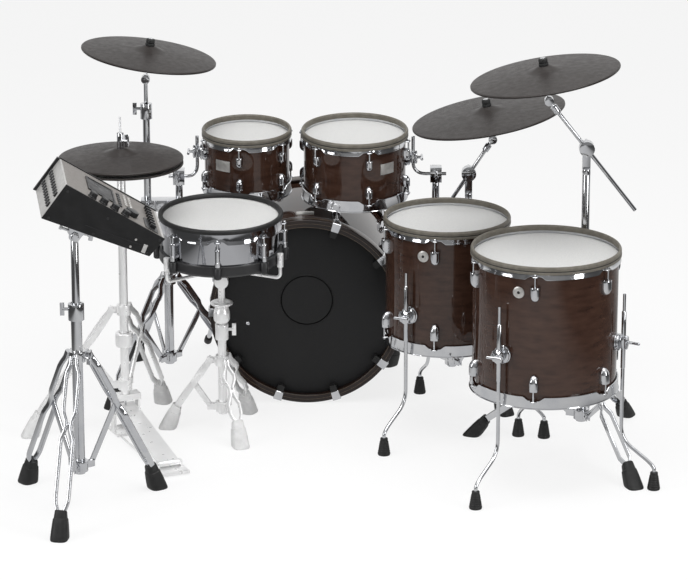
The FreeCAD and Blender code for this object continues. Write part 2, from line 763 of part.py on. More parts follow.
# Mesh-head drum: wooden shell, mesh head and bottom film, steel hoops with their rods and lugs,
# rubber rim, and the sensor that the head rests on
def drum(piece, lug_width, lug_tall, lug_count, rod_show):
    radius = of_piece(piece, "radius")
    depth = of_piece(piece, "depth")
    turn = of_piece(piece, "turn")
    hoop_in = radius + d.hoop_gap
    hoop_out = hoop_in + d.hoop_wall
    shell = ring(f"{piece}_wall", radius - d.shell_wall, radius, zero, depth)
    mesh = rod(f"{piece}_mesh", radius + d.head_lap, d.head_thick, z=depth)
    film = rod(f"{piece}_film", radius + d.head_lap, d.head_thick, z=-d.head_thick)
    rise = depth + d.hoop_rise
    tension = radius + d.tension_out
    top_hoop, ear_low = eared_hoop(f"{piece}_top_hoop", radius, tension, depth - d.hoop_lap, rise, 1,
                                   lug_count)
    low_hoop, ear_top = eared_hoop(f"{piece}_low_hoop", radius, tension, d.hoop_lap, -d.hoop_low, -1,
                                   lug_count)
    for hoop in (top_hoop, low_hoop):
        place(hoop, turn=turn)
    rim_out = radius + d.rim_reach
    rim_in = radius - d.rim_inside
    rim_top = depth + d.rim_over
    groove_out = hoop_out + d.snug
    groove_in = hoop_in - d.snug
    rim = revolved(f"{piece}_rubber", [
        (rim_in, depth + d.rim_lip), (groove_in, depth + d.rim_lip), (groove_in, rise), (groove_out, rise),
        (groove_out, depth - d.rim_under), (rim_out, depth - d.rim_under), (rim_out, rim_top),
        (rim_in, rim_top)])
    lugs = new_body(f"{piece}_lugs")
    outline = rounded(radius, lug_width, radius + d.lug_out)
    top_lug = ear_low - rod_show - lug_tall
    low_lug = ear_top + rod_show
    polar(lugs, [add_pad(lugs, outline, low, lug_tall) for low in (top_lug, low_lug)], lug_count)
    place(lugs, turn=turn)
    rods = new_body(f"{piece}_rods")
    shank = [(tension, zero, d.tension_radius)]
    key = [(tension, zero, d.tension_key_radius)]
    parts = [add_pad(rods, [], ear_low - rod_show, rod_show + d.ear_thick, shank),
             add_pad(rods, [], ear_low + d.ear_thick, d.tension_key, key),
             add_pad(rods, [], ear_top - d.ear_thick, rod_show + d.ear_thick, shank),
             add_pad(rods, [], ear_top - d.ear_thick - d.tension_key, d.tension_key, key)]
    polar(rods, parts, lug_count)
    place(rods, turn=turn)
    inside = radius - d.shell_wall
    half = root(inside * inside - d.sensor_beam_width * d.sensor_beam_width / 4)
    beam_top = depth - d.sensor_drop
    beam_low = beam_top - d.sensor_beam_thick
    beam = block(f"{piece}_beam", half * 2, d.sensor_beam_width, d.sensor_beam_thick, -half, 0, beam_low)
    cone = doc.addObject("Part::Cone", f"{piece}_cone")
    bind(cone, "Radius1", d.cone_base)
    bind(cone, "Radius2", d.cone_tip)
    bind(cone, "Height", d.sensor_drop)
    place(cone, z=beam_top)
    return {"shell": [shell], "head": [mesh, film], "rim": [rim], "hoops": [top_hoop, low_hoop],
            "hardware": [lugs, rods, beam, cone]}


def drum_nodes(piece, parts, z, tilt):
    x, y = plan(piece)
    for name, items in parts.items():
        node(f"{piece}_{name}", items, x, y, z, (1, 0, 0), tilt)


# Rack toms: they hang over the kick. A bent arm runs from the bracket on each shell to the clamp of its post.
kick_hoop_radius = d.kick_radius + d.kick_hoop_gap + d.kick_hoop_wall


def rack_z(tom):
    """Height of a rack tom's lower edge."""
    return kick_hoop_radius * 2 + of_piece(tom, "over")


for piece, side in (("tom_10", -1), ("tom_12", 1)):
    parts = drum(piece, d.rack_lug_width, d.rack_lug_tall, d.rack_lug_count, d.rack_rod_show)
    radius = of_piece(piece, "radius")
    upright = radius + d.arm_out
    bracket = round_bracket(f"{piece}_bracket", radius, d.arm_bracket_z, upright, d.arm_radius + d.snug)
    place(bracket, turn=0 if side > 0 else 180)
    reach = ((of_piece(piece, "arm_x") - of_piece(piece, "x")) * side - upright
             + d.arm_clamp_width / 2 + d.arm_past)
    length = of_piece(piece, "depth") - of_piece(piece, "arm_z")
    path = [(zero, zero), (zero, -(length - d.arm_bend), d.arm_bend), (d.arm_bend, -length), (reach, -length)]
    arm = pipe(f"{piece}_arm", path, d.arm_radius)
    place(arm, upright * side, 0, of_piece(piece, "depth"), turn=0 if side > 0 else 180)
    parts["hardware"] += [bracket, arm]
    drum_nodes(piece, parts, rack_z(piece), d.tom_tilt)

# Floor toms: three brackets each, which slide on the legs
legs = []
feet = []
for piece in ("floor_tom_14", "floor_tom_16"):
    parts = drum(piece, d.floor_lug_width, d.floor_lug_tall, d.floor_lug_count, d.floor_rod_show)
    radius = of_piece(piece, "radius")
    out = radius + d.leg_out
    for letter in "abc":
        bracket = round_bracket(f"{piece}_bracket_{letter}", radius, d.leg_bracket_z, out,
                                d.leg_radius + d.play)
        parts["hardware"].append(place(bracket, turn=of_piece(piece, f"leg_{letter}")))
    drum_nodes(piece, parts, of_piece(piece, "z"), zero)
    x, y = plan(piece)
    top = of_piece(piece, "z") + d.leg_top
    swing = d.leg_bend * (1 - cosine(d.leg_slant))
    fall = d.leg_bend * sine(d.leg_slant)
    slant = (d.leg_shift - swing * 2) / sine(d.leg_slant) * cosine(d.leg_slant)
    bend = d.leg_straight
    path = [(zero, zero), (zero, -bend, d.leg_bend), (swing, -(bend + fall)),
            (d.leg_shift - swing, -(bend + fall + slant), -d.leg_bend),
            (d.leg_shift, -(bend + fall * 2 + slant)), (d.leg_shift, d.leg_foot_tall - top)]
    for letter in "abc":
        azimuth = of_piece(piece, f"leg_{letter}")
        swung = azimuth + getattr(d, f"leg_twist_{letter}")
        leg_x, leg_y = x + out * cosine(azimuth), y + out * sine(azimuth)
        leg = pipe(f"{piece}_leg_{letter}", path, d.leg_radius)
        legs.append(place(leg, leg_x, leg_y, top, turn=swung))
        foot = revolved(f"{piece}_foot_{letter}", [
            (zero, zero), (d.leg_foot_base - d.leg_foot_round, zero, d.leg_foot_round),
            (d.leg_foot_base, d.leg_foot_round), (d.leg_foot_neck, d.leg_foot_tall), (zero, d.leg_foot_tall)])
        place(foot, leg_x + d.leg_shift * cosine(swung), leg_y + d.leg_shift * sine(swung), 0)
        feet.append(foot)
node("floor_tom_legs", legs)

# Snare: metal shell on a plastic base, with tube lugs and a rubber rim
x, y = plan("snare")
snare_top = d.snare_base_tall + d.snare_shell_tall
hoop_in = d.snare_radius + d.hoop_gap
hoop_out = hoop_in + d.hoop_wall
rise = snare_top + d.hoop_rise
rim_out = d.snare_radius + d.snare_rim_reach
snare_shell = ring("snare_wall_ring", d.snare_radius - d.snare_wall, d.snare_radius, d.snare_base_tall,
                   snare_top)
base_radius = d.snare_radius + d.snare_base_reach
ledge = base_radius - d.snare_base_ledge
base = revolved("snare_tray", [
    (zero, zero), (base_radius, zero), (base_radius, d.snare_base_tall),
    (ledge, d.snare_base_tall), (ledge, d.snare_base_floor), (zero, d.snare_base_floor)])
tension = d.snare_radius + d.snare_tube_out
boss = add_pad(base, [], zero, d.snare_base_tall, [(tension, zero, d.snare_boss)])
polar(base, [boss], d.snare_lug_count)
place(base, turn=d.snare_turn)
head = rod("snare_mesh", d.snare_radius + d.head_lap, d.head_thick, z=snare_top)
rim = revolved("snare_rubber", [
    (d.snare_radius - d.rim_inside, snare_top + d.rim_lip), (hoop_in - d.snug, snare_top + d.rim_lip),
    (hoop_in - d.snug, rise), (hoop_out + d.snug, rise), (hoop_out + d.snug, snare_top - d.rim_under),
    (rim_out, snare_top - d.rim_under), (rim_out, snare_top + d.rim_over),
    (d.snare_radius - d.rim_inside, snare_top + d.rim_over)])
skirt = snare_top - d.snare_hoop_lap
hoop, ear_low = eared_hoop("snare_hoop", d.snare_radius, tension, skirt, rise, 1, d.snare_lug_count)
place(hoop, turn=d.snare_turn)
tubes = new_body("snare_tubes")
tube_low = d.snare_base_tall + d.snare_tube_low
tube_top = tube_low + d.snare_tube_tall
foot_plan = seated(d.snare_radius, d.snare_tube_radius * 2, tension)
polar(tubes, [add_pad(tubes, [], tube_low, d.snare_tube_tall, [(tension, zero, d.snare_tube_radius)]),
              add_pad(tubes, foot_plan, tube_low, d.snare_foot_tall),
              add_pad(tubes, foot_plan, tube_top - d.snare_foot_tall, d.snare_foot_tall)], d.snare_lug_count)
place(tubes, turn=d.snare_turn)
rods = new_body("snare_rods")
ear_top = ear_low + d.ear_thick
polar(rods, [add_pad(rods, [], tube_top, ear_top - tube_top, [(tension, zero, d.tension_radius)]),
             add_pad(rods, [], ear_top, d.tension_key, [(tension, zero, d.tension_key_radius)])],
             d.snare_lug_count)
place(rods, turn=d.snare_turn)
sensor = doc.addObject("Part::Cone", "snare_sensor")
bind(sensor, "Radius1", d.cone_base)
bind(sensor, "Radius2", d.snare_cone)
bind(sensor, "Height", snare_top - d.snare_base_floor)
place(sensor, z=d.snare_base_floor)
for name, items in (("snare_shell", [snare_shell, hoop]), ("snare_base", [base]), ("snare_head", [head]),
                    ("snare_rim", [rim]), ("snare_hardware", [tubes, rods, sensor])):
    node(name, items, x, y, d.snare_z, (1, 0, 0), d.snare_tilt)

# Kick drum: the axis is Z here, from the batter edge to the far edge, and Y points to the floor
x, y = d.kick_x, d.kick_y + d.kick_hoop_out
kick_z = kick_hoop_radius * cosine(d.kick_rise) + d.kick_hoop_out * sine(d.kick_rise)
kick_turn = d.kick_rise - 90
hoop_in = d.kick_radius + d.kick_hoop_gap
hoop_out = kick_hoop_radius
shell = ring("kick_wall_ring", d.kick_radius - d.kick_wall, d.kick_radius, zero, d.kick_depth)
sketch = new_sketch(shell, "XZ_Plane")
draw_circle(sketch, zero, d.kick_hoop_lap * 2 + d.kick_vent_radius, d.kick_vent_radius)
vent = shell.newObject("PartDesign::Pocket", "kick_vent")
vent.Profile = sketch
vent.Type = "ThroughAll"
vent.Reversed = True
shell.Tip = vent
hoops = [ring("kick_batter_hoop", hoop_in, hoop_out, -d.kick_hoop_out, d.kick_hoop_lap),
         ring("kick_front_hoop", hoop_in, hoop_out, d.kick_depth - d.kick_hoop_lap,
              d.kick_depth + d.kick_hoop_out)]
batter = new_body("kick_batter")
add_pad(batter, [], -d.kick_head_thick, d.kick_head_thick, [(zero, zero, d.kick_radius)])
pad_face = -d.kick_head_thick - d.kick_pad_thick
add_pad(batter, [], pad_face, d.kick_pad_thick, [(zero, -d.kick_pad_up, d.kick_pad_radius)])
front = rod("kick_front", d.kick_radius, d.kick_head_thick, z=d.kick_depth)


def claws(name, edge, way):
    """Claws, rods and lugs of one end: edge is the hoop's face, way the direction to the shell's middle."""
    body = new_body(name)
    face = edge - d.claw_thick * way
    back = edge + (d.kick_hoop_out + d.kick_hoop_lap) * way
    tail = back + d.claw_back * way
    top = hoop_out + d.claw_thick
    eye = d.kick_radius + d.kick_hoop_gap
    corners = [(hoop_out - d.claw_grip, face), (top, face), (top, tail), (eye, tail), (eye, back),
               (hoop_out, back), (hoop_out, edge), (hoop_out - d.claw_grip, edge)]
    claw = add_pad(body, corners, None, d.claw_width, plane="XZ_Plane", middle=True)
    polar(body, [claw], d.kick_lug_count)
    axis = (eye + top) / 2
    bars = new_body(f"{name}_bars")
    lug_start = tail + d.kick_rod_show * way
    low = tail if way > 0 else lug_start
    polar(bars, [add_pad(bars, [], low, d.kick_rod_show, [(axis, zero, d.kick_rod_radius)])],
          d.kick_lug_count)
    lugs = new_body(f"{name}_lugs")
    low = lug_start if way > 0 else lug_start - d.kick_lug_length
    outline = rounded(d.kick_radius, d.kick_lug_width, d.kick_radius + d.kick_lug_out / 2)
    polar(lugs, [add_pad(lugs, outline, low, d.kick_lug_length)], d.kick_lug_count)
    return [body, bars, lugs]


kick_hardware = claws("batter_claws", -d.kick_hoop_out, 1) \
    + claws("front_claws", d.kick_depth + d.kick_hoop_out, -1)
for item in kick_hardware:
    place(item, turn=90 + sized(180) / d.kick_lug_count)
beam_half = root((d.kick_radius - d.kick_wall) * (d.kick_radius - d.kick_wall)
                 - d.kick_beam_width * d.kick_beam_width / 4)
kick_hardware.append(rod("kick_foam", d.kick_foam_radius, d.kick_foam_depth, y=-d.kick_pad_up))
beam = doc.addObject("Part::Box", "kick_beam")
bind(beam, "Length", d.kick_beam_width)
bind(beam, "Width", beam_half * 2)
bind(beam, "Height", d.kick_beam_thick)
kick_hardware.append(place(beam, -d.kick_beam_width / 2, -beam_half, d.kick_foam_depth))
spur_out = d.kick_radius + d.spur_plate + d.play
spur_along = d.kick_depth - d.spur_back
for name, side in (("left", -1), ("right", 1)):
    # The bracket is a round pad on the shell, pointing out to the side and a little down
    pad = rod(f"spur_pad_{name}", d.spur_plate_radius, d.spur_plate + d.kick_wall,
              z=d.kick_radius - d.kick_wall)
    across = group(f"spur_pad_{name}_side", [pad], axis=(0, 1, 0), turn=90)
    cutter = rod(f"spur_pad_{name}_cut", d.kick_radius, d.kick_depth)
    seat = group(f"spur_pad_{name}_seat", [across], z=spur_along,
                 turn=d.spur_low if side > 0 else 180 - d.spur_low)
    cut = doc.addObject("Part::Cut", f"spur_bracket_{name}")
    cut.Base = seat
    cut.Tool = cutter
    kick_hardware.append(cut)
for name, items in (("kick_shell", [shell]), ("kick_hoops", hoops), ("kick_heads", [batter, front]),
                    ("kick_hardware", kick_hardware)):
    node(name, items, x, y, kick_z, (1, 0, 0), kick_turn)

# Spurs: a round head that turns on the bracket, and a leg with a rubber tip
head_middle = spur_out + d.spur_head / 2
head_z = kick_z - head_middle * sine(d.spur_low) * cosine(d.kick_rise) + spur_along * sine(d.kick_rise)
head_y = y + head_middle * sine(d.spur_low) * sine(d.kick_rise) + spur_along * cosine(d.kick_rise)
for name, side in (("left", -1), ("right", 1)):
    head = rod(f"spur_head_{name}", d.spur_head_radius, d.spur_head, z=spur_out)
    across = group(f"spur_head_{name}_side", [head], axis=(0, 1, 0), turn=90)
    seat = group(f"spur_head_{name}_seat", [across], z=spur_along,
                 turn=d.spur_low if side > 0 else 180 - d.spur_low)
    turned = group(f"spur_head_{name}_turned", [seat], x, y, kick_z, (1, 0, 0), kick_turn)
    reach = (head_z - d.spur_tip_radius * sine(d.spur_pitch)) / cosine(d.spur_pitch)
    leg = rod(f"spur_leg_{name}", d.spur_radius, reach - d.spur_tip, axis=(1, 0, 0), turn=180 + d.spur_pitch)
    tip = rod(f"spur_tip_{name}", d.spur_tip_radius, d.spur_tip, 0, (reach - d.spur_tip) * sine(d.spur_pitch),
              (d.spur_tip - reach) * cosine(d.spur_pitch), (1, 0, 0), 180 + d.spur_pitch)
    limb = group(f"spur_limb_{name}", [fused(f"spur_limb_{name}_one", [leg, tip])],
                 x + head_middle * cosine(d.spur_low) * side, head_y, head_z, turn=d.spur_spread * -side)
    node(f"kick_spur_{name}", [fused(f"spur_{name}_one", [turned, limb])])


# Tripod: legs of two flat bars hinge on a collar, and flat braces hinge on a hub lower down.
# A brace is as long as the leg is from its collar to the brace, so both turn by the same angle.
def tripod(piece, tube, azimuths):
    hub = of_piece(piece, "hub")
    collar = of_piece(piece, "collar")
    foot = of_piece(piece, "foot")
    fall = collar - d.boot_axis_z
    slope = slope_of(fall, foot - d.pivot_out)
    along, up = cosine(slope), sine(slope)
    span = root((foot - d.pivot_out) * (foot - d.pivot_out) + fall * fall)
    end = span - d.boot_length
    rise = (collar - hub) / 2
    middle = rise / up
    near, far = d.bar_gap / 2, d.bar_bow / 2
    bowed = d.bar_flat + d.bar_ramp
    inner = [(-d.bar_width / 2, near), (d.bar_flat, near), (bowed, far), (middle - bowed, far),
             (middle - d.bar_flat, near), (middle + d.bar_flat, near), (middle + bowed, far),
             (end - d.bar_ramp, far), (end, near)]
    bar = inner + [(corner[0], corner[1] + d.bar_thick) for corner in reversed(inner)]
    end_x, end_z = d.pivot_out + end * along, collar - end * up
    thick = d.boot_thick / 2
    boot = [(end_x + thick * up, end_z + thick * along), (end_x - thick * up, end_z - thick * along),
            (foot - d.boot_heel, zero), (foot + d.boot_toe, zero), (foot + d.boot_toe, d.boot_toe_tall)]
    mid_x, mid_z = d.pivot_out + middle * along, hub + rise
    half = d.brace_width / 2
    brace = [(d.pivot_out + half * up, hub - half * along), (mid_x + half * up, mid_z - half * along, half),
             (mid_x - half * up, mid_z + half * along), (d.pivot_out - half * up, hub + half * along, half)]
    parts = SimpleNamespace(legs=[], boots=[], braces=[])
    ears = []
    forks = []
    ring_out = tube + d.collar_wall
    tongue = d.bar_gap - d.play * 2
    ear_from = ring_out - d.collar_wall / 2
    ear_length = d.pivot_out + d.bar_width / 2 - ear_from
    for azimuth in azimuths:
        name = f"{piece}_{len(parts.legs)}"
        leg = new_body(f"{name}_bars")
        side_one = add_pad(leg, bar, None, d.bar_width, middle=True)
        other = leg.newObject("PartDesign::Mirrored", f"{name}_other_bar")
        other.Originals = [side_one]
        other.MirrorPlane = (origin_of(leg, "XZ_Plane"), [""])
        leg.Tip = other
        place(leg, d.pivot_out, 0, collar, (0, 1, 0), slope)
        parts.legs.append(group(f"{name}_leg", [leg], turn=azimuth))
        shoe = new_body(f"{name}_boot")
        add_pad(shoe, boot, None, d.boot_width, plane="XZ_Plane", middle=True)
        link = new_body(f"{name}_brace")
        add_pad(link, brace, None, tongue, plane="XZ_Plane", middle=True)
        parts.boots.append(place(shoe, turn=azimuth))
        parts.braces.append(place(link, turn=azimuth))
        ear = block(f"{name}_ear", ear_length, tongue, d.ear_tall, ear_from, 0, collar - d.ear_tall / 2)
        ears.append(group(f"{name}_ear_turned", [ear], turn=azimuth))
        for side in (-1, 1):
            cheek = block(f"{name}_fork_{side + 1}", ear_length, d.fork_thick, d.ear_tall, ear_from,
                          (d.bar_gap + d.fork_thick) / 2 * side, hub - d.ear_tall / 2)
            forks.append(group(f"{name}_fork_{side + 1}_turned", [cheek], turn=azimuth))
    low = -d.collar_tall / 2
    collar_ring = ring(f"{piece}_collar_ring", tube + d.play, ring_out, collar + low, collar - low)
    hub_ring = ring(f"{piece}_hub_ring", tube + d.play, ring_out, hub + low, hub - low)
    parts.collar = fused(f"{piece}_collar_one", [collar_ring] + ears)
    parts.hub = fused(f"{piece}_hub_one", [hub_ring] + forks)
    return parts


def azimuths_of(piece, letters="abc"):
    return [of_piece(piece, f"leg_{letter}") for letter in letters]


def wing_bolt(name, x, y, z, azimuth):
    """Wing bolt that points out from x, y, z."""
    stem = rod(f"{name}_stem", d.wing_stem_radius, d.wing_stem, axis=(0, 1, 0), turn=90)
    wing = doc.addObject("Part::Box", f"{name}_wing")
    bind(wing, "Length", d.wing_deep)
    bind(wing, "Width", d.wing_thick)
    bind(wing, "Height", d.wing_span)
    place(wing, d.wing_stem - d.wing_deep / 2, -d.wing_thick / 2, -d.wing_span / 2)
    return group(f"{name}_bolt", [fused(f"{name}_one", [stem, wing])], x, y, z, turn=azimuth)


def grip(name, fixed, sliding, top):
    """Clamp on the top of a fixed tube, with a sliding tube through it."""
    wall = fixed + d.grip_wall
    return revolved(name, [(fixed, top - d.grip_lap), (wall, top - d.grip_lap), (wall, top + d.grip_over),
                           (sliding + d.play, top + d.grip_over), (sliding + d.play, top), (fixed, top)])


# Two stands with a holder that carries two tubes: a cymbal's and a tom's
def paired_stand(piece, cymbal_x, tom):
    x, y = plan(piece)
    tube = of_piece(piece, "tube")
    legs = tripod(piece, tube, azimuths_of(piece))
    holder_low = d.holder_z - d.holder_tall / 2
    holder_top = d.holder_z + d.holder_tall / 2
    tube_low = of_piece(piece, "hub") - d.tube_below
    column = rod(f"{piece}_column", tube, holder_low - tube_low, z=tube_low)
    tom_x = of_piece(tom, "arm_x") - of_piece(piece, "x")
    own_x = cymbal_x - of_piece(piece, "x")
    low_x, high_x = (own_x, tom_x) if own_x.value < tom_x.value else (tom_x, own_x)
    holder = block(f"{piece}_holder", high_x - low_x + d.holder_past * 2, d.holder_deep, d.holder_tall,
                   low_x - d.holder_past, 0, holder_low)
    # The tom's arm turns in this clamp, which stands on its own post
    arm_z = rack_z(tom) + of_piece(tom, "arm_z") * cosine(d.tom_tilt)
    arm_y = of_piece(tom, "y") - of_piece(piece, "y") - of_piece(tom, "arm_z") * sine(d.tom_tilt)
    clamp_low = arm_z - d.arm_clamp_tall / 2
    post = rod(f"{piece}_post", d.post_radius, clamp_low - holder_top, tom_x, 0, holder_top)
    clamp = doc.addObject("Part::Cut", f"{piece}_clamp")
    clamp.Base = block(f"{piece}_clamp_block", d.arm_clamp_width, d.arm_clamp_deep, d.arm_clamp_tall,
                       tom_x - d.arm_clamp_width / 2, arm_y, clamp_low)
    clamp.Tool = rod(f"{piece}_clamp_bore", d.arm_radius + d.play, d.arm_clamp_width * 2,
                     tom_x - d.arm_clamp_width, arm_y, arm_z, (0, 1, 0), 90)
    bolts = [wing_bolt(f"{piece}_holder_wing", own_x, -d.holder_deep / 2, d.holder_z, -90),
             wing_bolt(f"{piece}_clamp_wing", tom_x, arm_y - d.arm_clamp_deep / 2, arm_z, -90)]
    fixed = legs.legs + legs.braces + [legs.collar, legs.hub, column, holder, post, clamp] + bolts
    return fixed, legs.boots, x, y, own_x, holder_top


# Post, seat cup and nut that carry a cymbal pad: Z is the pad's axis, from the tilter's axis up
def topper(name):
    rim_low = d.tilter_rim
    seat = rim_low + d.bow_rise + d.bell_rise - d.felt_thick - d.sway_gap
    top = rim_low + d.bow_rise + d.bell_rise + d.cymbal_thick + d.felt_thick + d.sway_gap
    barrel = rod(f"{name}_barrel", d.tilter_radius, d.tilter_length, 0, d.tilter_length / 2, 0, (1, 0, 0), 90)
    stem = rod(f"{name}_stem", d.stem_radius, top + d.nut_tall)
    cup = rod(f"{name}_cup", d.seat_radius, d.seat_tall, z=seat - d.seat_tall)
    nut = rod(f"{name}_nut", d.nut_radius, d.nut_tall, z=top)
    return fused(f"{name}_topper", [barrel, stem, cup, nut])


def pad_profile(radius):
    """Cymbal pad, from its hole over the bell and the bow to the rim and back underneath."""
    seat = d.bow_rise + d.bell_rise
    top = seat + d.cymbal_thick
    return [(d.cymbal_hole, seat), (d.bell_flat, seat, -d.bell_curve),
            (d.bell_radius, d.bow_rise, -d.bow_curve),
            (radius, zero), (radius, d.cymbal_thick, d.bow_curve),
            (d.bell_radius, d.bow_rise + d.cymbal_thick, d.bell_curve), (d.bell_flat, top),
            (d.cymbal_hole, top)]


def cymbal_parts(name, radius):
    """A pad with the felts above and below its bell, standing on its rim."""
    pad = revolved(f"{name}_pad", pad_profile(radius))
    seat = d.bow_rise + d.bell_rise
    under = ring(f"{name}_low_felt", d.felt_bore, d.felt_radius, seat - d.felt_thick, seat)
    over = ring(f"{name}_top_felt", d.felt_bore, d.felt_radius, seat + d.cymbal_thick,
                seat + d.cymbal_thick + d.felt_thick)
    return [pad, under, over]


def on_tilter(name, items, x, y, z, roll):
    """Pieces built along a cymbal's axis, put on the tilter at x, y, z."""
    return group(name, items, x, y, z, (0, 1, 0), roll)


# First crash: a rod that slides in the tube of the left stand
fixed, boots, x, y, own_x, holder_top = paired_stand("left_stand", d.crash_x, "tom_10")
crash_tube = ring("crash_tube", d.crash_rod_radius + d.play, d.post_radius, holder_top, d.crash_tube_top)
crash_grip = grip("crash_grip", d.post_radius, d.crash_rod_radius, d.crash_tube_top)
for item in (crash_tube, crash_grip):
    place(item, own_x)
crash_wing = wing_bolt("crash_wing", own_x - d.post_radius - d.grip_wall, 0, d.crash_tube_top, 180)
stands = [group("left_stand", fixed + [crash_tube, crash_grip, crash_wing], x, y)]
feet.append(group("left_stand_boots", boots, x, y))
crash_x = x + own_x
crash_rod = rod("crash_rod", d.crash_rod_radius, d.crash_tilter_z - d.crash_rod_low, crash_x, y,
                d.crash_rod_low)
crash_top = on_tilter("crash_topper_placed", [topper("crash")], crash_x, y, d.crash_tilter_z, d.crash_roll)
node("crash_left_rod", [fused("crash_rod_one", [crash_rod, crash_top])])
pad = group("crash_left_lifted", cymbal_parts("crash_left", d.crash_radius), z=d.tilter_rim)
node("crash_left", [pad], crash_x, y, d.crash_tilter_z, (0, 1, 0), d.crash_roll)


def boom(name, slope, tail, head, roll):
    """Boom that turns about Y at its clamp, with a rubber collar and the tilter at its head."""
    bar = rod(f"{name}_bar", d.boom_radius, tail + head, -tail * cosine(slope), 0, -tail * sine(slope),
              (0, 1, 0), 90 - slope)
    stop_at = head - d.boom_stop_back
    stop = rod(f"{name}_stop", d.boom_stop_radius, d.boom_stop_length, stop_at * cosine(slope), 0,
               stop_at * sine(slope), (0, 1, 0), 90 - slope)
    disc = rod(f"{name}_disc", d.boom_disc_radius, d.boom_disc_thick, 0, d.boom_disc_thick / 2, 0, (1, 0, 0),
               90)
    top = on_tilter(f"{name}_top", [topper(name)], head * cosine(slope), 0, head * sine(slope), roll)
    return fused(f"{name}_one", [bar, stop, disc, top])


def boom_yoke(name, tube, pivot_z):
    """Fixed half of a boom clamp: a disc beside the boom's own, on the neck of its tube."""
    behind = d.boom_disc_thick / 2 + d.play
    disc = rod(f"{name}_yoke_disc", d.boom_disc_radius, d.boom_disc_thick,
               0, behind + d.boom_disc_thick, pivot_z, (1, 0, 0), 90)
    low = pivot_z - d.boom_disc_radius - d.boom_neck
    neck = block(f"{name}_yoke_neck", tube * 2, d.boom_disc_thick, d.boom_disc_radius + d.boom_neck, -tube,
                 behind + d.boom_disc_thick / 2, low)
    foot = rod(f"{name}_yoke_foot", tube, d.boom_foot, z=low)
    return fused(f"{name}_yoke", [disc, neck, foot])


# Ride: a short boom on the right stand
fixed, boots, x, y, own_x, holder_top = paired_stand("right_stand", d.ride_tube_x, "tom_12")
ride_low = d.ride_pivot_z - d.boom_disc_radius - d.boom_neck
ride_tube = rod("ride_tube", d.post_radius, ride_low - holder_top, own_x, 0, holder_top)
ride_yoke = place(group("ride_yoke_placed", [boom_yoke("ride", d.post_radius, d.ride_pivot_z)]), own_x)
yoke_back = d.boom_disc_thick / 2 + d.play + d.boom_disc_thick
ride_wing = wing_bolt("ride_wing", own_x, yoke_back, d.ride_pivot_z, 90)
stands.append(group("right_stand", fixed + [ride_tube, ride_yoke, ride_wing], x, y))
feet.append(group("right_stand_boots", boots, x, y))
ride_x = x + own_x
node("ride_boom", [boom("ride", d.ride_boom_slope, d.ride_boom_tail, d.ride_boom_head, d.ride_roll)],
     ride_x, y, d.ride_pivot_z)
pad = group("ride_lifted", cymbal_parts("ride", d.ride_radius), z=d.tilter_rim)
node("ride", [pad], ride_x + d.ride_boom_head * cosine(d.ride_boom_slope), y,
     d.ride_pivot_z + d.ride_boom_head * sine(d.ride_boom_slope), (0, 1, 0), d.ride_roll)

# Second crash: a long boom on a tube that slides in the front stand
x, y = plan("front_stand")
legs = tripod("front_stand", d.front_stand_tube, azimuths_of("front_stand"))
column_low = d.front_stand_hub - d.tube_below
column = ring("front_column", d.front_tube_radius + d.play, d.front_stand_tube, column_low, d.front_stand_top)
front_grip = grip("front_grip", d.front_stand_tube, d.front_tube_radius, d.front_stand_top)
front_wing = wing_bolt("front_wing", d.front_stand_tube + d.grip_wall, 0, d.front_stand_top, 0)
front_parts = legs.legs + legs.braces + [legs.collar, legs.hub, column, front_grip, front_wing]
stands.append(group("front_stand", front_parts, x, y))
node("cymbal_stands", stands)
feet.append(group("front_stand_boots", legs.boots, x, y))
tube_top = d.second_pivot_z - d.boom_disc_radius - d.boom_neck
tube = ring("second_tube", d.front_tube_radius - d.tube_wall, d.front_tube_radius, d.front_tube_low, tube_top)
yoke = boom_yoke("second", d.front_tube_radius, d.second_pivot_z)
yoke_wing = wing_bolt("second_wing", 0, yoke_back, d.second_pivot_z, 90)
node("crash_right_tube", [tube, yoke, yoke_wing], x, y)
node("crash_right_boom", [boom("second", d.second_boom_slope, d.second_boom_tail, d.second_boom_head,
                               d.second_roll)],
     x, y, d.second_pivot_z)
pad = group("second_lifted", cymbal_parts("crash_right", d.second_crash_radius), z=d.tilter_rim)
node("crash_right", [pad], x + d.second_boom_head * cosine(d.second_boom_slope), y,
     d.second_pivot_z + d.second_boom_head * sine(d.second_boom_slope), (0, 1, 0), d.second_roll)

# Module stand: its collar slides up the tube to fold the legs
x, y = plan("module_stand")
legs = tripod("module_stand", d.module_stand_tube, azimuths_of("module_stand"))
column_low = d.module_stand_hub - d.tube_below
column = ring("module_column", d.module_tube_radius + d.play, d.module_stand_tube, column_low,
              d.module_stand_top)
module_grip = grip("module_grip", d.module_stand_tube, d.module_tube_radius, d.module_stand_top)
module_wing = wing_bolt("module_wing", -d.module_stand_tube - d.grip_wall, 0, d.module_stand_top, 180)
node("module_stand_column", [column, legs.hub, module_grip, module_wing], x, y)
collar_wing = wing_bolt("collar_wing", d.module_stand_tube + d.collar_wall, 0, d.module_stand_collar, 0)
turned_wing = group("collar_wing_turned", [collar_wing],
                    turn=(d.module_stand_leg_b + d.module_stand_leg_c) / 2)
node("module_stand_collar", [legs.collar, turned_wing], x, y)
for number, (leg, shoe, link) in enumerate(zip(legs.legs, legs.boots, legs.braces), start=1):
    node(f"module_stand_leg_{number}", [leg, shoe], x, y)
    node(f"module_stand_brace_{number}", [link], x, y)
tube_top = d.module_pivot_z - d.mount_ball
tube = ring("module_mast", d.module_tube_radius - d.tube_wall, d.module_tube_radius, d.module_tube_low,
            tube_top)
clamp = rod("module_ball", d.mount_ball, d.mount_ear_gap - d.play * 2, 0, d.mount_ear_gap / 2 - d.play,
            d.module_pivot_z, (1, 0, 0), 90)
ball = group("module_ball_turned", [clamp], turn=d.module_yaw)
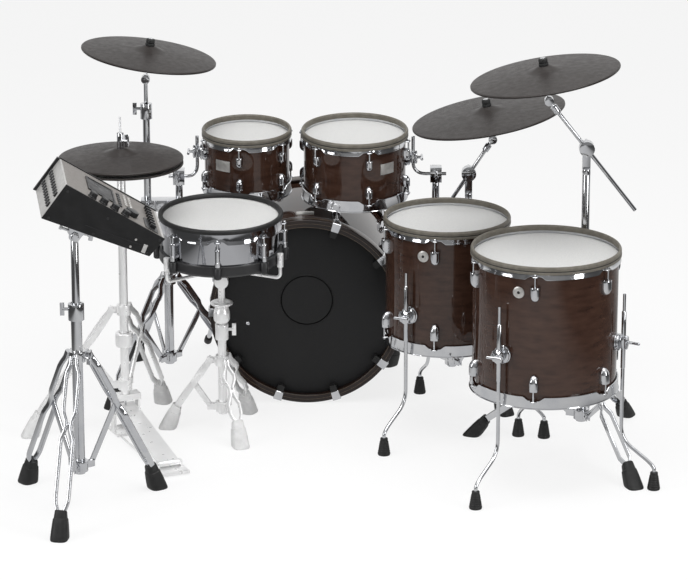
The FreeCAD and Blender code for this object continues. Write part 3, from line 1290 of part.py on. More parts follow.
neck = rod("module_neck", d.module_tube_radius, d.mount_neck, z=tube_top)
node("module_tube", [tube, fused("module_clamp", [neck, ball])], x, y)

# Sound module: a wedge housing between two side panels, on a plate with two ears
rear_x = -d.module_back
low = d.module_over + d.mount_plate
wedge = [(rear_x, low), (rear_x + d.module_length, low),
         (rear_x + d.module_length + d.module_front_lean, low + d.module_front_tall),
         (rear_x + d.module_rear_lean, low + d.module_rear_tall)]
panel_run = d.module_length + d.module_front_lean - d.module_rear_lean
panel_fall = d.module_rear_tall - d.module_front_tall
panel_slope = slope_of(panel_fall, panel_run)
inner = d.module_width - d.cheek_thick * 2
housing = new_body("module_wedge")
add_pad(housing, wedge, None, inner, plane="XZ_Plane", middle=True)
cheek_outline = wedge[:2] + [(corner[0], corner[1] + d.cheek_proud) for corner in wedge[2:]]
cheeks = []
for name, low_y in (("near", inner / 2), ("far", -d.module_width / 2)):
    cheek = new_body(f"module_cheek_{name}")
    add_pad(cheek, cheek_outline, low_y, d.cheek_thick, plane="XZ_Plane")
    cheeks.append(cheek)
plate = block("module_plate", d.mount_length, d.mount_width, d.mount_plate, -d.mount_length / 2, 0,
              d.module_over)
ears = []
for side in (-1, 1):
    ear = new_body(f"module_ear_{side + 1}")
    middle = (d.mount_ear_gap + d.mount_ear_thick) / 2 * side
    half = d.mount_ball
    outline = [(half, zero), (half, d.module_over), (-half, d.module_over), (-half, zero, half)]
    add_pad(ear, outline, middle - d.mount_ear_thick / 2, d.mount_ear_thick, plane="XZ_Plane")
    ears.append(ear)
panel_x, panel_z = rear_x + d.module_rear_lean, low + d.module_rear_tall


def on_panel(name, items):
    """Pieces on the control panel: X runs from its rear edge to the front, Z out of it."""
    return group(f"{name}_panel", items, panel_x, 0, panel_z, (0, 1, 0), panel_slope)


def module_node(name, items):
    tilted = group(f"{name}_tilted", items, axis=(0, 1, 0), turn=d.module_tilt)
    node(name, [tilted], *plan("module_stand"), d.module_pivot_z, turn=d.module_yaw)


controls = [block("screen", d.screen_length, d.screen_width, d.screen_thick,
                  d.screen_along - d.screen_length / 2, d.screen_across, 0)]
for number in range(int(d.knob_count.value)):
    controls.append(rod(f"knob_{number}", d.knob_radius, d.knob_tall, d.knob_first + d.knob_step * number,
                        d.knob_across))
for number in range(int(d.key_count.value)):
    across = d.key_step * (number - (d.key_count.value - 1) / 2) + d.screen_across
    controls.append(block(f"key_{number}", d.key_length, d.key_width, d.key_tall, d.key_along, across, 0))
for number in range(int(d.fader_count.value)):
    across = d.fader_step * (number - (d.fader_count.value - 1) / 2)
    controls.append(block(f"fader_{number}", d.fader_length, d.fader_width, d.fader_tall, d.fader_along,
                          across, 0))
jacks = []
rear_lean = slope_of(d.module_rear_lean, d.module_rear_tall)
for row in range(2):
    for number in range(int(d.jack_count.value)):
        across = d.jack_step * (number - (d.jack_count.value - 1) / 2)
        jack = ring(f"jack_{row}_{number}", d.jack_bore, d.jack_radius, zero, d.jack_out)
        jacks.append(place(jack, 0, across, d.jack_up + d.jack_row * row, (0, 1, 0), -90))
rear = group("module_rear", jacks, rear_x, 0, low, (0, 1, 0), rear_lean)
dial = rod("dial_knob", d.dial_radius, d.dial_tall, d.dial_along, d.dial_across, d.play)
module_node("module_housing", [housing, plate] + ears)
module_node("module_side_panels", cheeks)
module_node("module_controls", [on_panel("controls", controls), rear])
module_node("module_dial", [on_panel("dial", [dial])])

# Hi-hat: two pads, the pull rod with its clutch, and a stand with two legs and a pedal.
# X runs from the tube to the heel here.
x, y = plan("hihat")
half_gap = d.hihat_open / 2
upper = group("hihat_upper", [revolved("hihat_top_pad", pad_profile(d.hihat_radius))], z=half_gap)
lower = group("hihat_lower", [revolved("hihat_bottom_pad", pad_profile(d.hihat_radius))], z=-half_gap,
              axis=(1, 0, 0), turn=180)
node("hihat_top_cymbal", [upper], x, y, d.hihat_z)
node("hihat_bottom_cymbal", [lower], x, y, d.hihat_z)
bell_top = half_gap + d.bow_rise + d.bell_rise + d.cymbal_thick
bell_inside = half_gap + d.bow_rise + d.bell_rise
board_rise = sine(d.board_slope) * d.heel_pin_x / cosine(d.board_slope)
board_top = (d.board_thick / 2 + d.hihat_rod * sine(d.board_slope)) / cosine(d.board_slope)
rod_low = d.heel_pin_z + board_rise + board_top + d.play
pull = rod("pull_rod", d.hihat_rod, d.hihat_rod_top - rod_low, z=rod_low)
clutch = rod("clutch", d.clutch_radius, d.clutch_tall, z=d.hihat_z + bell_top)
clutch_nut = rod("clutch_nut", d.clutch_radius, d.felt_thick, z=d.hihat_z + bell_inside - d.felt_thick)
clutch_wing = wing_bolt("clutch_wing", d.clutch_radius - d.play, 0, d.hihat_z + bell_top + d.clutch_tall / 2,
                        90)
node("hihat_pull_rod", [fused("pull_one", [pull, clutch, clutch_nut, clutch_wing])], x, y, turn=d.hihat_turn)
leg_azimuths = [azimuth - d.hihat_turn for azimuth in azimuths_of("hihat", "ab")]
tripod_parts = tripod("hihat", d.hihat_tube, leg_azimuths)
tube_low = d.pedal_bridge_z + d.pedal_bridge_tall
seat_z = d.hihat_z - bell_top
tube = ring("hihat_column", d.hihat_bore, d.hihat_tube, tube_low, seat_z - d.seat_tall)
cup = ring("hihat_cup", d.hihat_rod + d.play * 2, d.felt_radius, seat_z - d.seat_tall, seat_z)
plate_low = d.pedal_pad
plate_top = d.pedal_pad + d.pedal_plate
base = block("pedal_base", d.pedal_base_back + d.pedal_base_front, d.pedal_width, d.pedal_plate,
             -d.pedal_base_back, 0, plate_low)
posts = []
for side in (-1, 1):
    middle = (d.pedal_width - d.pedal_post_thick) / 2 * side
    posts.append(block(f"pedal_post_{side + 1}", d.pedal_post_deep, d.pedal_post_thick,
                       d.pedal_bridge_z - plate_top, -d.pedal_post_deep / 2, middle, plate_top))
bridge_plate = new_body("pedal_bridge")
half = d.pedal_width / 2
deep = d.pedal_post_deep / 2 + d.hihat_tube / 2
add_pad(bridge_plate, [(-deep, -half), (deep, -half), (deep, half), (-deep, half)], d.pedal_bridge_z,
        d.pedal_bridge_tall, [(zero, zero, d.hihat_rod + d.play * 2)])
heel = block("pedal_heel", d.heel_far - d.heel_near, d.pedal_width, d.pedal_plate, d.heel_near, 0, plate_low)
heel_ears = []
links = []
for side in (-1, 1):
    middle = (d.board_width / 2 + d.play + d.heel_ear_thick / 2) * side
    heel_ears.append(block(f"heel_ear_{side + 1}", d.heel_ear_long, d.heel_ear_thick,
                           d.heel_pin_z + d.board_pin_radius - plate_top, d.heel_pin_x - d.heel_ear_long / 2,
                           middle, plate_top))
    links.append(rod(f"pedal_link_{side + 1}", d.pedal_link_radius, d.heel_near - d.pedal_base_front,
                     d.pedal_base_front, d.pedal_link_out * side, plate_low + d.pedal_plate / 2,
                     (0, 1, 0), 90))
hihat_fixed = tripod_parts.legs + tripod_parts.braces
hihat_fixed += [tripod_parts.collar, tripod_parts.hub, tube, cup, base, bridge_plate, heel]
hihat_fixed += posts + heel_ears + links
node("hihat_stand", hihat_fixed, x, y, turn=d.hihat_turn)
pads = [block("base_pad", d.pedal_base_back + d.pedal_base_front, d.pedal_width, d.pedal_pad,
              -d.pedal_base_back, 0, 0),
        block("heel_pad", d.heel_far - d.heel_near, d.pedal_width, d.pedal_pad, d.heel_near, 0, 0)]
feet.append(group("hihat_feet", tripod_parts.boots + pads, x, y, turn=d.hihat_turn))
board = block("board_plate", d.board_toe + d.board_heel, d.board_width, d.board_thick, -d.board_heel, 0,
              -d.board_thick / 2)
knuckle = rod("board_knuckle", d.board_pin_radius, d.board_width, 0, d.board_width / 2, 0, (1, 0, 0), 90)
raised = group("board_raised", [fused("board_one", [board, knuckle])], axis=(0, 1, 0), turn=-d.board_slope)
turned = group("board_turned", [raised], turn=180)
placed = group("board_placed", [turned], d.heel_pin_x, 0, d.heel_pin_z)
node("hihat_footboard", [placed], x, y, turn=d.hihat_turn)

# Snare stand: a small tripod, a post with a tilter, and a basket of three bent arms
x, y = plan("snare")
tripod_parts = tripod("snare_stand", d.snare_stand_tube, azimuths_of("snare_stand"))
hub_low = d.snare_stand_hub - d.tube_below
basket_low = d.snare_z - d.basket_drop - d.basket_hub_tall / 2
column = ring("snare_column", d.snare_post_radius + d.snug, d.snare_stand_tube, hub_low, d.snare_stand_top)
snare_grip = grip("snare_grip", d.snare_stand_tube, d.snare_post_radius, d.snare_stand_top)
snare_wing = wing_bolt("snare_wing", d.snare_stand_tube + d.grip_wall, 0, d.snare_stand_top, 0)
bulb_z = basket_low - d.snare_bulb_radius - d.basket_hub * sine(d.snare_tilt)
post = rod("snare_post", d.snare_post_radius, bulb_z - d.snare_stand_collar, z=d.snare_stand_collar)
bulb = rod("snare_bulb", d.snare_bulb_radius, d.basket_hub_tall, 0, d.basket_hub_tall / 2, bulb_z, (1, 0, 0),
           90)
tilter_post = fused("snare_tilter", [post, bulb])
hub_radius = d.basket_hub
grip_x = base_radius + d.basket_grip
arm_z = -d.basket_drop
arms = [rod("basket_centre", hub_radius, d.basket_hub_tall, z=arm_z - d.basket_hub_tall / 2)]
for number in range(int(d.basket_arm_count.value)):
    reach = grip_x - hub_radius
    arm = pipe(f"basket_arm_{number}", [
        (zero, zero), (zero, reach - d.basket_bend, d.basket_bend), (-d.basket_bend, reach),
        (arm_z, reach)], d.basket_arm)
    flat = group(f"basket_arm_{number}_flat", [arm], hub_radius, 0, arm_z, (0, 1, 0), 90)
    hold = rod(f"basket_grip_{number}", d.basket_grip, d.basket_grip_tall, grip_x, 0, 0)
    azimuth = d.snare_turn + d.basket_turn + 360 / d.basket_arm_count * number
    arms.append(group(f"basket_arm_{number}_turned", [flat, hold], turn=azimuth))
basket = group("basket", arms, 0, 0, d.snare_z, (1, 0, 0), d.snare_tilt)
node("snare_stand", tripod_parts.legs + tripod_parts.braces
     + [tripod_parts.collar, tripod_parts.hub, column, snare_grip, snare_wing, tilter_post, basket], x, y)
feet.append(group("snare_feet", tripod_parts.boots, x, y))
node("rubber_feet", feet)

doc.recompute()
for item in doc.Objects:
    if "Invalid" in item.State or "Error" in item.State:
        raise RuntimeError(f"{item.Name} failed: {item.State}")
os.makedirs("parts", exist_ok=True)
for item in NODES:
    shape = item.Shape
    if shape.isNull() or not shape.isValid():
        raise RuntimeError(f"{item.Label} has no valid shape")
for item in NODES:
    item.Shape.exportStep(f"parts/{item.Label}.step")
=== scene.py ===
import math
import bpy
import numpy as np
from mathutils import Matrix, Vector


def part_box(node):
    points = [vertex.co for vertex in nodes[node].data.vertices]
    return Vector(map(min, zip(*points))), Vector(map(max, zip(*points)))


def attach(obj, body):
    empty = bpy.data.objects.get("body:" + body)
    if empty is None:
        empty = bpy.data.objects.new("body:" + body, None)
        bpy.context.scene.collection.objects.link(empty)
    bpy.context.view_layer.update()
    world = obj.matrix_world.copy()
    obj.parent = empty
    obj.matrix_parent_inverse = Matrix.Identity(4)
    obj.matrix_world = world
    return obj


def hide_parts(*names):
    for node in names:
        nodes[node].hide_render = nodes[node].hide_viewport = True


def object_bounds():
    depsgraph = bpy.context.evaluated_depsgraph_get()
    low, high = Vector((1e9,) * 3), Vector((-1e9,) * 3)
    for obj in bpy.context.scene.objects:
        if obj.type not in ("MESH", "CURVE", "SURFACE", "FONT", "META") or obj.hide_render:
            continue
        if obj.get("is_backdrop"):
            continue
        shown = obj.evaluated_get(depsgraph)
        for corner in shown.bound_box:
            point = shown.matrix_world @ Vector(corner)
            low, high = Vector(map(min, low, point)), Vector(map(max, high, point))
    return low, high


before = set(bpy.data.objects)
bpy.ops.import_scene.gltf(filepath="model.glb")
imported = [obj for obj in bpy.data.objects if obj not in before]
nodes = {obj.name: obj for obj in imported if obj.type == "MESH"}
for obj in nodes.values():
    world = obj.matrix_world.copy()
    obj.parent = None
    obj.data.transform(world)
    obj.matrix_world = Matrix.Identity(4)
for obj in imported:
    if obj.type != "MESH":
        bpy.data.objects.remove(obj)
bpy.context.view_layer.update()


def tree_of(owner):
    """Node tree of a material or a world."""
    owner.use_nodes = True
    return owner.node_tree


def fill(tree, node, values):
    """Outputs of a node, after each input has got its value or a link from another node's output."""
    for name, value in values.items():
        if isinstance(value, bpy.types.NodeSocket):
            tree.links.new(value, node.inputs[name])
        else:
            node.inputs[name].default_value = value
    return node.outputs


def add_node(tree, kind, values=None, **settings):
    """Outputs of a new node with its settings and inputs."""
    node = tree.nodes.new(kind)
    for name, value in settings.items():
        setattr(node, name, value)
    return fill(tree, node, values or {})


def new_item(name, data):
    """New object in the scene."""
    item = bpy.data.objects.new(name, data)
    bpy.context.scene.collection.objects.link(item)
    return item


def corners(half_long, half_wide):
    """Oblong about the origin."""
    return [(-half_long, -half_wide), (half_long, -half_wide), (half_long, half_wide),
            (-half_long, half_wide)]


def graded(tree, number, low, high, *greys):
    """Grey that follows a number from low to high, through evenly spaced levels."""
    span = add_node(tree, "ShaderNodeMapRange", {"Value": number, "From Min": low, "From Max": high})
    ramp = tree.nodes.new("ShaderNodeValToRGB")
    marks = ramp.color_ramp.elements
    for step in range(1, len(greys) - 1):
        marks.new(step / (len(greys) - 1))
    for mark, grey in zip(marks, greys):
        mark.color = (grey, grey, grey, 1)
    return fill(tree, ramp, {"Fac": span["Result"]})["Color"]


def larger(tree, one, other):
    """The larger of two numbers."""
    return add_node(tree, "ShaderNodeMath", {0: one, 1: other}, operation="MAXIMUM")[0]


def by_ray(tree, lit, mirrored, seen):
    """Shader with a look of its own for the eye and for mirrors; the lit one gives light and takes shadow."""
    path = add_node(tree, "ShaderNodeLightPath")
    straight = larger(tree, path["Is Camera Ray"], path["Is Transmission Ray"])
    dull = add_node(tree, "ShaderNodeMixShader", {0: path["Is Glossy Ray"], 1: lit, 2: mirrored})[0]
    return add_node(tree, "ShaderNodeMixShader", {0: straight, 1: dull, 2: seen})[0]


def studio_floor():
    """A flat square, 60 m wide, a hair below the feet. The eye sees mostly its own white, and for the rest
    the light and shadow on it."""
    half, low = 30.0, -0.0005
    mesh = bpy.data.meshes.new("studio_floor")
    mesh.from_pydata([(x, y, low) for x, y in corners(half, half)], [], [(0, 1, 2, 3)])
    paper = bpy.data.materials.new("studio_paper")
    mesh.materials.append(paper)
    tree = tree_of(paper)
    lit = fill(tree, tree.nodes["Principled BSDF"],
               {"Base Color": (0.86, 0.86, 0.86, 1), "Roughness": 0.6, "Specular IOR Level": 0.2})[0]
    glow = add_node(tree, "ShaderNodeEmission")[0]
    seen = add_node(tree, "ShaderNodeMixShader", {0: 0.8, 1: lit, 2: glow})[0]
    place = add_node(tree, "ShaderNodeTexCoord")["Object"]
    parts = add_node(tree, "ShaderNodeSeparateXYZ", {0: place})
    across = graded(tree, parts["X"], -2.6, 2.6, 0.08, 0.12, 0.6, 0.72, 0.72, 0.6, 0.12, 0.08)
    behind = graded(tree, parts["Y"], 0, 3, 0.0, 0.5, 0.9)
    mirrored = add_node(tree, "ShaderNodeEmission", {"Color": larger(tree, across, behind)})[0]
    fill(tree, tree.nodes["Material Output"], {"Surface": by_ray(tree, lit, mirrored, seen)})
    new_item("studio_floor", mesh)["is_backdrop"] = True


def studio_world():
    """Even light, and white to the eye."""
    world = bpy.data.worlds.new("studio")
    bpy.context.scene.world = world
    tree, white = tree_of(world), (1, 1, 1, 1)
    lit = fill(tree, tree.nodes["Background"], {"Color": white, "Strength": 0.52})[0]
    seen = add_node(tree, "ShaderNodeBackground", {"Color": white})[0]
    place = add_node(tree, "ShaderNodeTexCoord")["Generated"]
    way = add_node(tree, "ShaderNodeSeparateXYZ", {0: place})
    behind = graded(tree, way["Y"], -1, 1, 0.30, 0.12, 0.08, 0.12, 0.85, 0.95)
    above = graded(tree, way["Z"], 0, 1, 0.0, 0.0, 0.45, 0.9, 0.95)
    mirrored = add_node(tree, "ShaderNodeBackground", {"Color": larger(tree, behind, above)})[0]
    fill(tree, tree.nodes["World Output"], {"Surface": by_ray(tree, lit, mirrored, seen)})


def softbox(name, place, aim, width, height, watts):
    """A rectangular lamp at place that faces aim."""
    lamp = bpy.data.lights.new(name, "AREA")
    lamp.shape = "RECTANGLE"
    lamp.size, lamp.size_y = width, height
    lamp.energy = watts
    item = new_item(name, lamp)
    item.location = place
    way = np.array(aim) - np.array(place)
    flat = math.hypot(way[0], way[1])
    item.rotation_euler = (math.atan2(flat, -way[2]), 0, math.atan2(-way[0], way[1]))


def studio_camera():
    camera = bpy.data.cameras.new("camera")
    camera.sensor_width = 36
    camera.lens = 177.9
    camera.shift_y = -0.0058
    camera.clip_end = 200
    item = new_item("camera", camera)
    item.location = (0.031, -9.3924, 3.42)
    item.rotation_euler = (math.radians(72.5), 0, 0)
    bpy.context.scene.camera = item


studio_floor()
studio_world()
studio_camera()
softbox("softbox_above", (0.3, -0.6, 3.6), (0, 0, 0.4), 3.2, 2.2, 95)
softbox("softbox_left", (-3.4, -2.4, 2.0), (0, 0, 0.5), 1.2, 2.6, 60)
softbox("softbox_right", (3.2, -2.8, 1.7), (0.2, 0, 0.5), 0.9, 2.6, 55)
bpy.context.scene.view_settings.view_transform = "Standard"


# Tom shells
# Bent walnut plies under a clear gloss lacquer. The grain runs round the shell, and both edges are cut to
# the slant that the heads bear on.
noise_low, noise_high = 0.3, 0.7


def noise(material, scale, stretch=(1, 1, 1), detail=4.0):
    tree = tree_of(material)
    place = add_node(tree, "ShaderNodeTexCoord")["Object"]
    way = add_node(tree, "ShaderNodeMapping", {"Vector": place, "Scale": stretch})["Vector"]
    return add_node(tree, "ShaderNodeTexNoise", {"Vector": way, "Scale": scale, "Detail": detail})["Fac"]


def set_surface(material, values):
    """Sets inputs of a material's surface."""
    tree = tree_of(material)
    fill(tree, tree.nodes["Principled BSDF"], values)


def tint(material, pattern, first, *others):
    """Colour from a pattern: each stop is the pattern's value and the colour there."""
    tree = tree_of(material)
    ramp = tree.nodes.new("ShaderNodeValToRGB")
    marks = ramp.color_ramp.elements
    marks.remove(marks[1])
    marks[0].position, marks[0].color = first[0], (*first[1], 1)
    for value, colour in others:
        marks.new(value).color = (*colour, 1)
    set_surface(material, {"Base Color": fill(tree, ramp, {"Fac": pattern})["Color"]})


def relief(material, pattern, depth):
    """Bumps of a pattern, depth in metres."""
    bump = add_node(tree_of(material), "ShaderNodeBump", {"Height": pattern, "Distance": depth})
    set_surface(material, {"Normal": bump["Normal"]})


def finish(name, colour, rough, metal=0.0, coat=0.0, shine=0.5, tones=(), gloss=(), bumps=()):
    """New material. Each pattern starts with its scale: tones go on with the darkest and lightest colour,
    gloss with the least and greatest roughness, and bumps with the detail and the depth in metres."""
    material = bpy.data.materials.new(name)
    set_surface(material, {"Base Color": (*colour, 1), "Roughness": rough, "Metallic": metal,
                           "Coat Weight": coat, "Coat Roughness": 0.04, "Specular IOR Level": shine})
    if tones:
        scale, dark, light, *weave = tones
        tint(material, noise(material, scale, *weave), (noise_low, dark), (noise_high, light))
    if gloss:
        scale, least, most = gloss
        span = {"Value": noise(material, scale), "From Min": noise_low, "From Max": noise_high,
                "To Min": least, "To Max": most}
        wander = add_node(tree_of(material), "ShaderNodeMapRange", span)
        set_surface(material, {"Roughness": wander["Result"]})
    if bumps:
        scale, detail, depth = bumps
        relief(material, noise(material, scale, detail=detail), depth)
    return material


def lacquered_walnut(name, stretch):
    """Walnut whose grain is a noise, drawn out along the axes with the smaller stretch."""
    material = finish(name, (0.045, 0.020, 0.012), 0.4, coat=1.0, shine=0.0)
    tint(material, noise(material, 19, stretch, 10), (0.30, (0.026, 0.0122, 0.0082)),
         (0.45, (0.036, 0.0172, 0.0115)), (0.58, (0.041, 0.0202, 0.0136)), (0.72, (0.048, 0.0245, 0.0166)))
    return material


def skin(rings, wrap=False):
    """Faces over closed rings of points: each point joins its neighbour on the ring and the same two on the
    next ring. The last ring joins the first where wrap is set; otherwise flat faces close both ends."""
    rows, count = rings.shape[:2]
    index = np.arange(rows * count).reshape(rows, count)
    here = index if wrap else index[:-1]
    there = np.roll(index, -1, 0) if wrap else index[1:]
    quads = np.stack([here, np.roll(here, -1, 1), np.roll(there, -1, 1), there], -1).reshape(-1, 4)
    return rings.reshape(-1, 3), quads, [] if wrap else [index[0][::-1], index[-1]]


def eased(outline, radius, steps=4):
    """Outline with its corners rounded: each gives way to a quadratic curve between the points a radius
    before and after it, or two fifths of the side where that is shorter."""
    corner = np.array(outline, float)
    back = np.roll(corner, 1, 0) - corner
    ahead = np.roll(corner, -1, 0) - corner
    radius = np.reshape(radius, (-1, 1))
    back_long = np.linalg.norm(back, axis=1, keepdims=True)
    ahead_long = np.linalg.norm(ahead, axis=1, keepdims=True)
    start = corner + back / back_long * np.minimum(radius, back_long * 0.4)
    end = corner + ahead / ahead_long * np.minimum(radius, ahead_long * 0.4)
    share = np.linspace(0, 1, steps + 1)[None, :, None]
    curve = ((1 - share) ** 2 * start[:, None] + 2 * share * (1 - share) * corner[:, None]
             + share ** 2 * end[:, None])
    return curve.reshape(-1, corner.shape[1])


def full_turn(count):
    """Evenly spaced angles once round, in radians."""
    return np.linspace(0, 2 * math.pi, count, endpoint=False)


def rings_of(radius, azimuth, height):
    """Points at a radius, azimuth and height about Z."""
    return np.stack(np.broadcast_arrays(radius * np.cos(azimuth), radius * np.sin(azimuth), height), -1)


def turned(outline, hollow=True, count=240, lobes=0, lobe=0.0):
    """Outline of radius and height carried once round Z. Lobes swell the radius by the share lobe, as a
    cosine of the azimuth. A hollow outline is closed; any other runs from its lower to its upper end."""
    azimuth = full_turn(count)
    radius, height = np.array(outline, float).T[..., None]
    return [skin(rings_of(radius * (1 + lobe * np.cos(lobes * azimuth)), azimuth, height), hollow)]


def cosine_sine(degrees):
    """Cosine and sine of an angle in degrees."""
    return math.cos(math.radians(degrees)), math.sin(math.radians(degrees))


def set_at(surfaces, place=(0, 0, 0), axis="Z", degrees=0.0):
    """Surfaces turned about an axis through the origin, then moved to their place."""
    c, s = cosine_sine(degrees)
    turn = {"X": [[1, 0, 0], [0, c, -s], [0, s, c]], "Y": [[c, 0, s], [0, 1, 0], [-s, 0, c]],
            "Z": [[c, -s, 0], [s, c, 0], [0, 0, 1]]}[axis]
    return [(points @ np.transpose(turn) + np.array(place), quads, caps) for points, quads, caps in surfaces]


def build(name, surfaces, material, body, *replaced, slot=None):
    """Object from surfaces in millimetres, which rides a body and stands for the nodes that it replaces."""
    points = np.concatenate([surface[0] for surface in surfaces]) * 0.001
    faces, first = [], 0
    for own, quads, caps in surfaces:
        faces += (quads + first).tolist() + [(cap + first).tolist() for cap in caps]
        first += len(own)
    mesh = bpy.data.meshes.new(name)
    mesh.from_pydata(points.tolist(), [], faces)
    mesh.shade_smooth()
    mesh.set_sharp_from_angle(angle=math.radians(38))
    mesh.materials.append(material)
    piece = new_item(name, mesh)
    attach(piece, body)
    if replaced:
        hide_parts(*replaced)
    return piece


def box_of(node):
    """Lowest and highest corner of a node, in millimetres."""
    return [np.array(corner) * 1000 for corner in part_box(node)]


def up_of(lean):
    """Direction of a drum's axis that leans about X."""
    c, s = cosine_sine(lean)
    return np.array([0, -s, c])


def drum_of(node, lean):
    """Radius, depth and lower middle of a drum that leans about X, from the box of its shell."""
    low, high = box_of(node)
    up = up_of(lean)
    along = np.argmax(np.abs(up))
    steep = abs(up[along])
    radius = (high[0] - low[0]) / 2
    depth = ((high - low)[along] - 2 * radius * math.sqrt(1 - steep ** 2)) / steep
    return radius, depth, (low + high) / 2 - up * depth / 2


def drum_shell(radius, depth, ply, slant, count):
    """Shell with its lower edge at height 0. The crest of both edges lies a slant inside the outer face."""
    inside = radius - ply
    return turned(eased([(inside, 4), (radius - slant, 0), (radius, 1), (radius, depth - 1),
                         (radius - slant, depth), (inside, depth - 4)], 0.8), count=count)


tom_ply = 6.4
tom_leans = {"tom_10": 3, "tom_12": 3, "floor_tom_14": 0, "floor_tom_16": 0}
tom_sizes, tom_places = {}, {}
for tom, lean in tom_leans.items():
    radius, depth, tom_places[tom] = drum_of(f"{tom}_shell", lean)
    tom_sizes[tom] = radius, depth


def build_on_tom(tom, name, surfaces, material, *replaced):
    """Piece of a tom from the tom's own frame, with the shell's lower edge at height 0."""
    placed = set_at(surfaces, tom_places[tom], "X", tom_leans[tom])
    build(f"{tom}_{name}", placed, material, tom, *[f"{tom}_{node}" for node in replaced])


walnut = lacquered_walnut("walnut", (1, 1, 3.5))
for tom, (radius, depth) in tom_sizes.items():
    shell = drum_shell(radius, depth, tom_ply, slant=2, count=240)
    build_on_tom(tom, "plies", shell, walnut, "shell")


# Tom heads
# Two layers of woven white mesh on a narrow flesh hoop, stretched tight, and a plain film below.
white_mesh = finish("white_mesh", (0.54, 0.54, 0.53), 0.75, shine=0.3)
tint(white_mesh, noise(white_mesh, 900, detail=1), (0.35, (0.47, 0.47, 0.465)), (0.62, (0.60, 0.60, 0.59)))
relief(white_mesh, noise(white_mesh, 1400, detail=1), 0.0002)


def flipped(surfaces):
    """Surfaces turned upside down by a mirror in Z."""
    return [(points * (1, 1, -1), quads[:, ::-1], [cap[::-1] for cap in caps])
            for points, quads, caps in surfaces]


def raised(surfaces, height):
    """Surfaces moved up by a height."""
    return set_at(surfaces, (0, 0, height))


def shifted(points, out, across=0):
    """Flat points moved out along their first axis and across along their second."""
    return [(x + out, y + across) for x, y in points]


def head(radius):
    """Round sheet, 2.5 mm thick, whose edge rolls over the hoop that holds it."""
    return turned(shifted([(-2, 0), (1, 0.3), (1.6, 1.2), (0.6, 2.2), (-3, 2.5), (-9, 2.3)], radius), False)


for tom, (radius, depth) in tom_sizes.items():
    sheets = raised(head(radius), depth) + flipped(head(radius))
    build_on_tom(tom, "mesh", sheets, white_mesh, "head")


# Rim covers
# Soft taupe rubber, pressed over the top edge of each hoop. A groove parts it into two tiers; a black ring in
# the groove is painted shade.
rim_rubber = finish("rim_rubber", (0.115, 0.105, 0.085), 0.5, shine=0.4,
                    tones=(60, (0.095, 0.086, 0.069), (0.138, 0.126, 0.104)), gloss=(25, 0.38, 0.55),
                    bumps=(700, 2, 0.00015))
black_rubber = finish("black_rubber", (0.012, 0.012, 0.012), 0.55, shine=0.35,
                      tones=(50, (0.008, 0.008, 0.008), (0.015, 0.015, 0.015)), gloss=(20, 0.4, 0.62),
                      bumps=(900, 2, 0.00012))


def rim_cover(radius):
    """Ring over a hoop: inner leg, slot for the hoop, then the two tiers of the outside and the crown."""
    outline = [(-2, 10), (1.8, 10), (1.8, 20), (6.2, 20), (6.2, 4), (7.8, 4), (7.8, 10.5), (6.5, 11.3),
               (6.5, 14), (7.4, 15), (7.4, 21), (4.3, 26), (1, 26), (-2, 22)]
    return turned(eased(shifted(outline, radius), 1.2, 3))


def square_ring(inner, outer, low, high, count=240, ease=0.0, steps=4):
    """Ring of oblong section, with sharp or eased edges."""
    outline = [(inner, low), (outer, low), (outer, high), (inner, high)]
    return turned(eased(outline, ease, steps) if ease else outline, count=count)


for tom, (radius, depth) in tom_sizes.items():
    cover = raised(rim_cover(radius), depth)
    build_on_tom(tom, "rim_cover", cover, rim_rubber, "rim")
    # A black ring set in the groove is painted shade.
    groove = square_ring(radius + 6.2, radius + 6.8, depth + 11.5, depth + 13.8)
    build_on_tom(tom, "rim_groove_shade", groove, black_rubber)


# Hoops, lugs and rods
# Chromed steel hoops with a skirt that is notched at each rod, an ear for its washer and square head, and
# die-cast lugs on the shell with one flat end and one round end.
chrome = finish("chrome", (0.60, 0.61, 0.63), 0.08, metal=1.0,
                tones=(18, (0.55, 0.56, 0.585), (0.66, 0.665, 0.675)), gloss=(45, 0.05, 0.13))
notch_tall, notch_flat, notch_end = 10, 13, 31
rod_out = 13


def around(surfaces, azimuths):
    """A copy of the surfaces at each azimuth about Z."""
    return [copy for azimuth in azimuths for copy in set_at(surfaces, degrees=azimuth)]


def evenly(first, count):
    """Azimuths in degrees, spaced evenly once round."""
    return first + np.arange(count) * 360 / count


def prism(outline, low, high, ease=0.6):
    """Flat outline raised from low to high. The ease draws in its first and last ring to round the edges."""
    outline = np.array(outline, float)
    middle = outline.mean(0)
    inset = middle + (outline - middle) * (1 - ease / np.linalg.norm(outline - middle, axis=1, keepdims=True))
    rings = [np.column_stack([plan, np.full(len(plan), height)]) for plan, height in
             ((inset, low), (outline, low + ease), (outline, high - ease), (inset, high))]
    return [skin(np.stack(rings))]


def notched_hoop(radius, rise, lap, azimuths):
    """Band round a shell, with height 0 at the shell's edge. The lower edge lies lap below it and climbs into
    a notch at each rod. The notch is full out to its flat on each side and falls off in an S to its end."""
    azimuth = full_turn(540)
    gap = np.abs((azimuth[:, None] - np.radians(azimuths) + math.pi) % (2 * math.pi) - math.pi).min(1)
    climb = np.clip((notch_end - gap * radius) / (notch_end - notch_flat), 0, 1)
    edge = notch_tall * climb ** 2 * (3 - 2 * climb) - lap
    section = np.array([(2, 1, 0), (3, 0, 0), (5, 0, 0), (6.5, 0.8, 0), (6.5, 3, 0), (6, 4, 0), (6, -1, 1),
                        (5, 0, 1), (3, 0, 1), (2, -1, 1)], float)
    out, own, far = section.T[..., None]
    return [skin(rings_of(radius + out, azimuth, own + np.where(far > 0, rise, edge)), True)]


def hoop_ear(radius, low):
    """Ear at azimuth 0 that stands out from a hoop, for the washer of a rod."""
    plan = shifted([(2, -10), (19, -9), (19, 9), (2, 10)], radius)
    return prism(eased(plan, (0, 7, 7, 0)), low, low + 3)


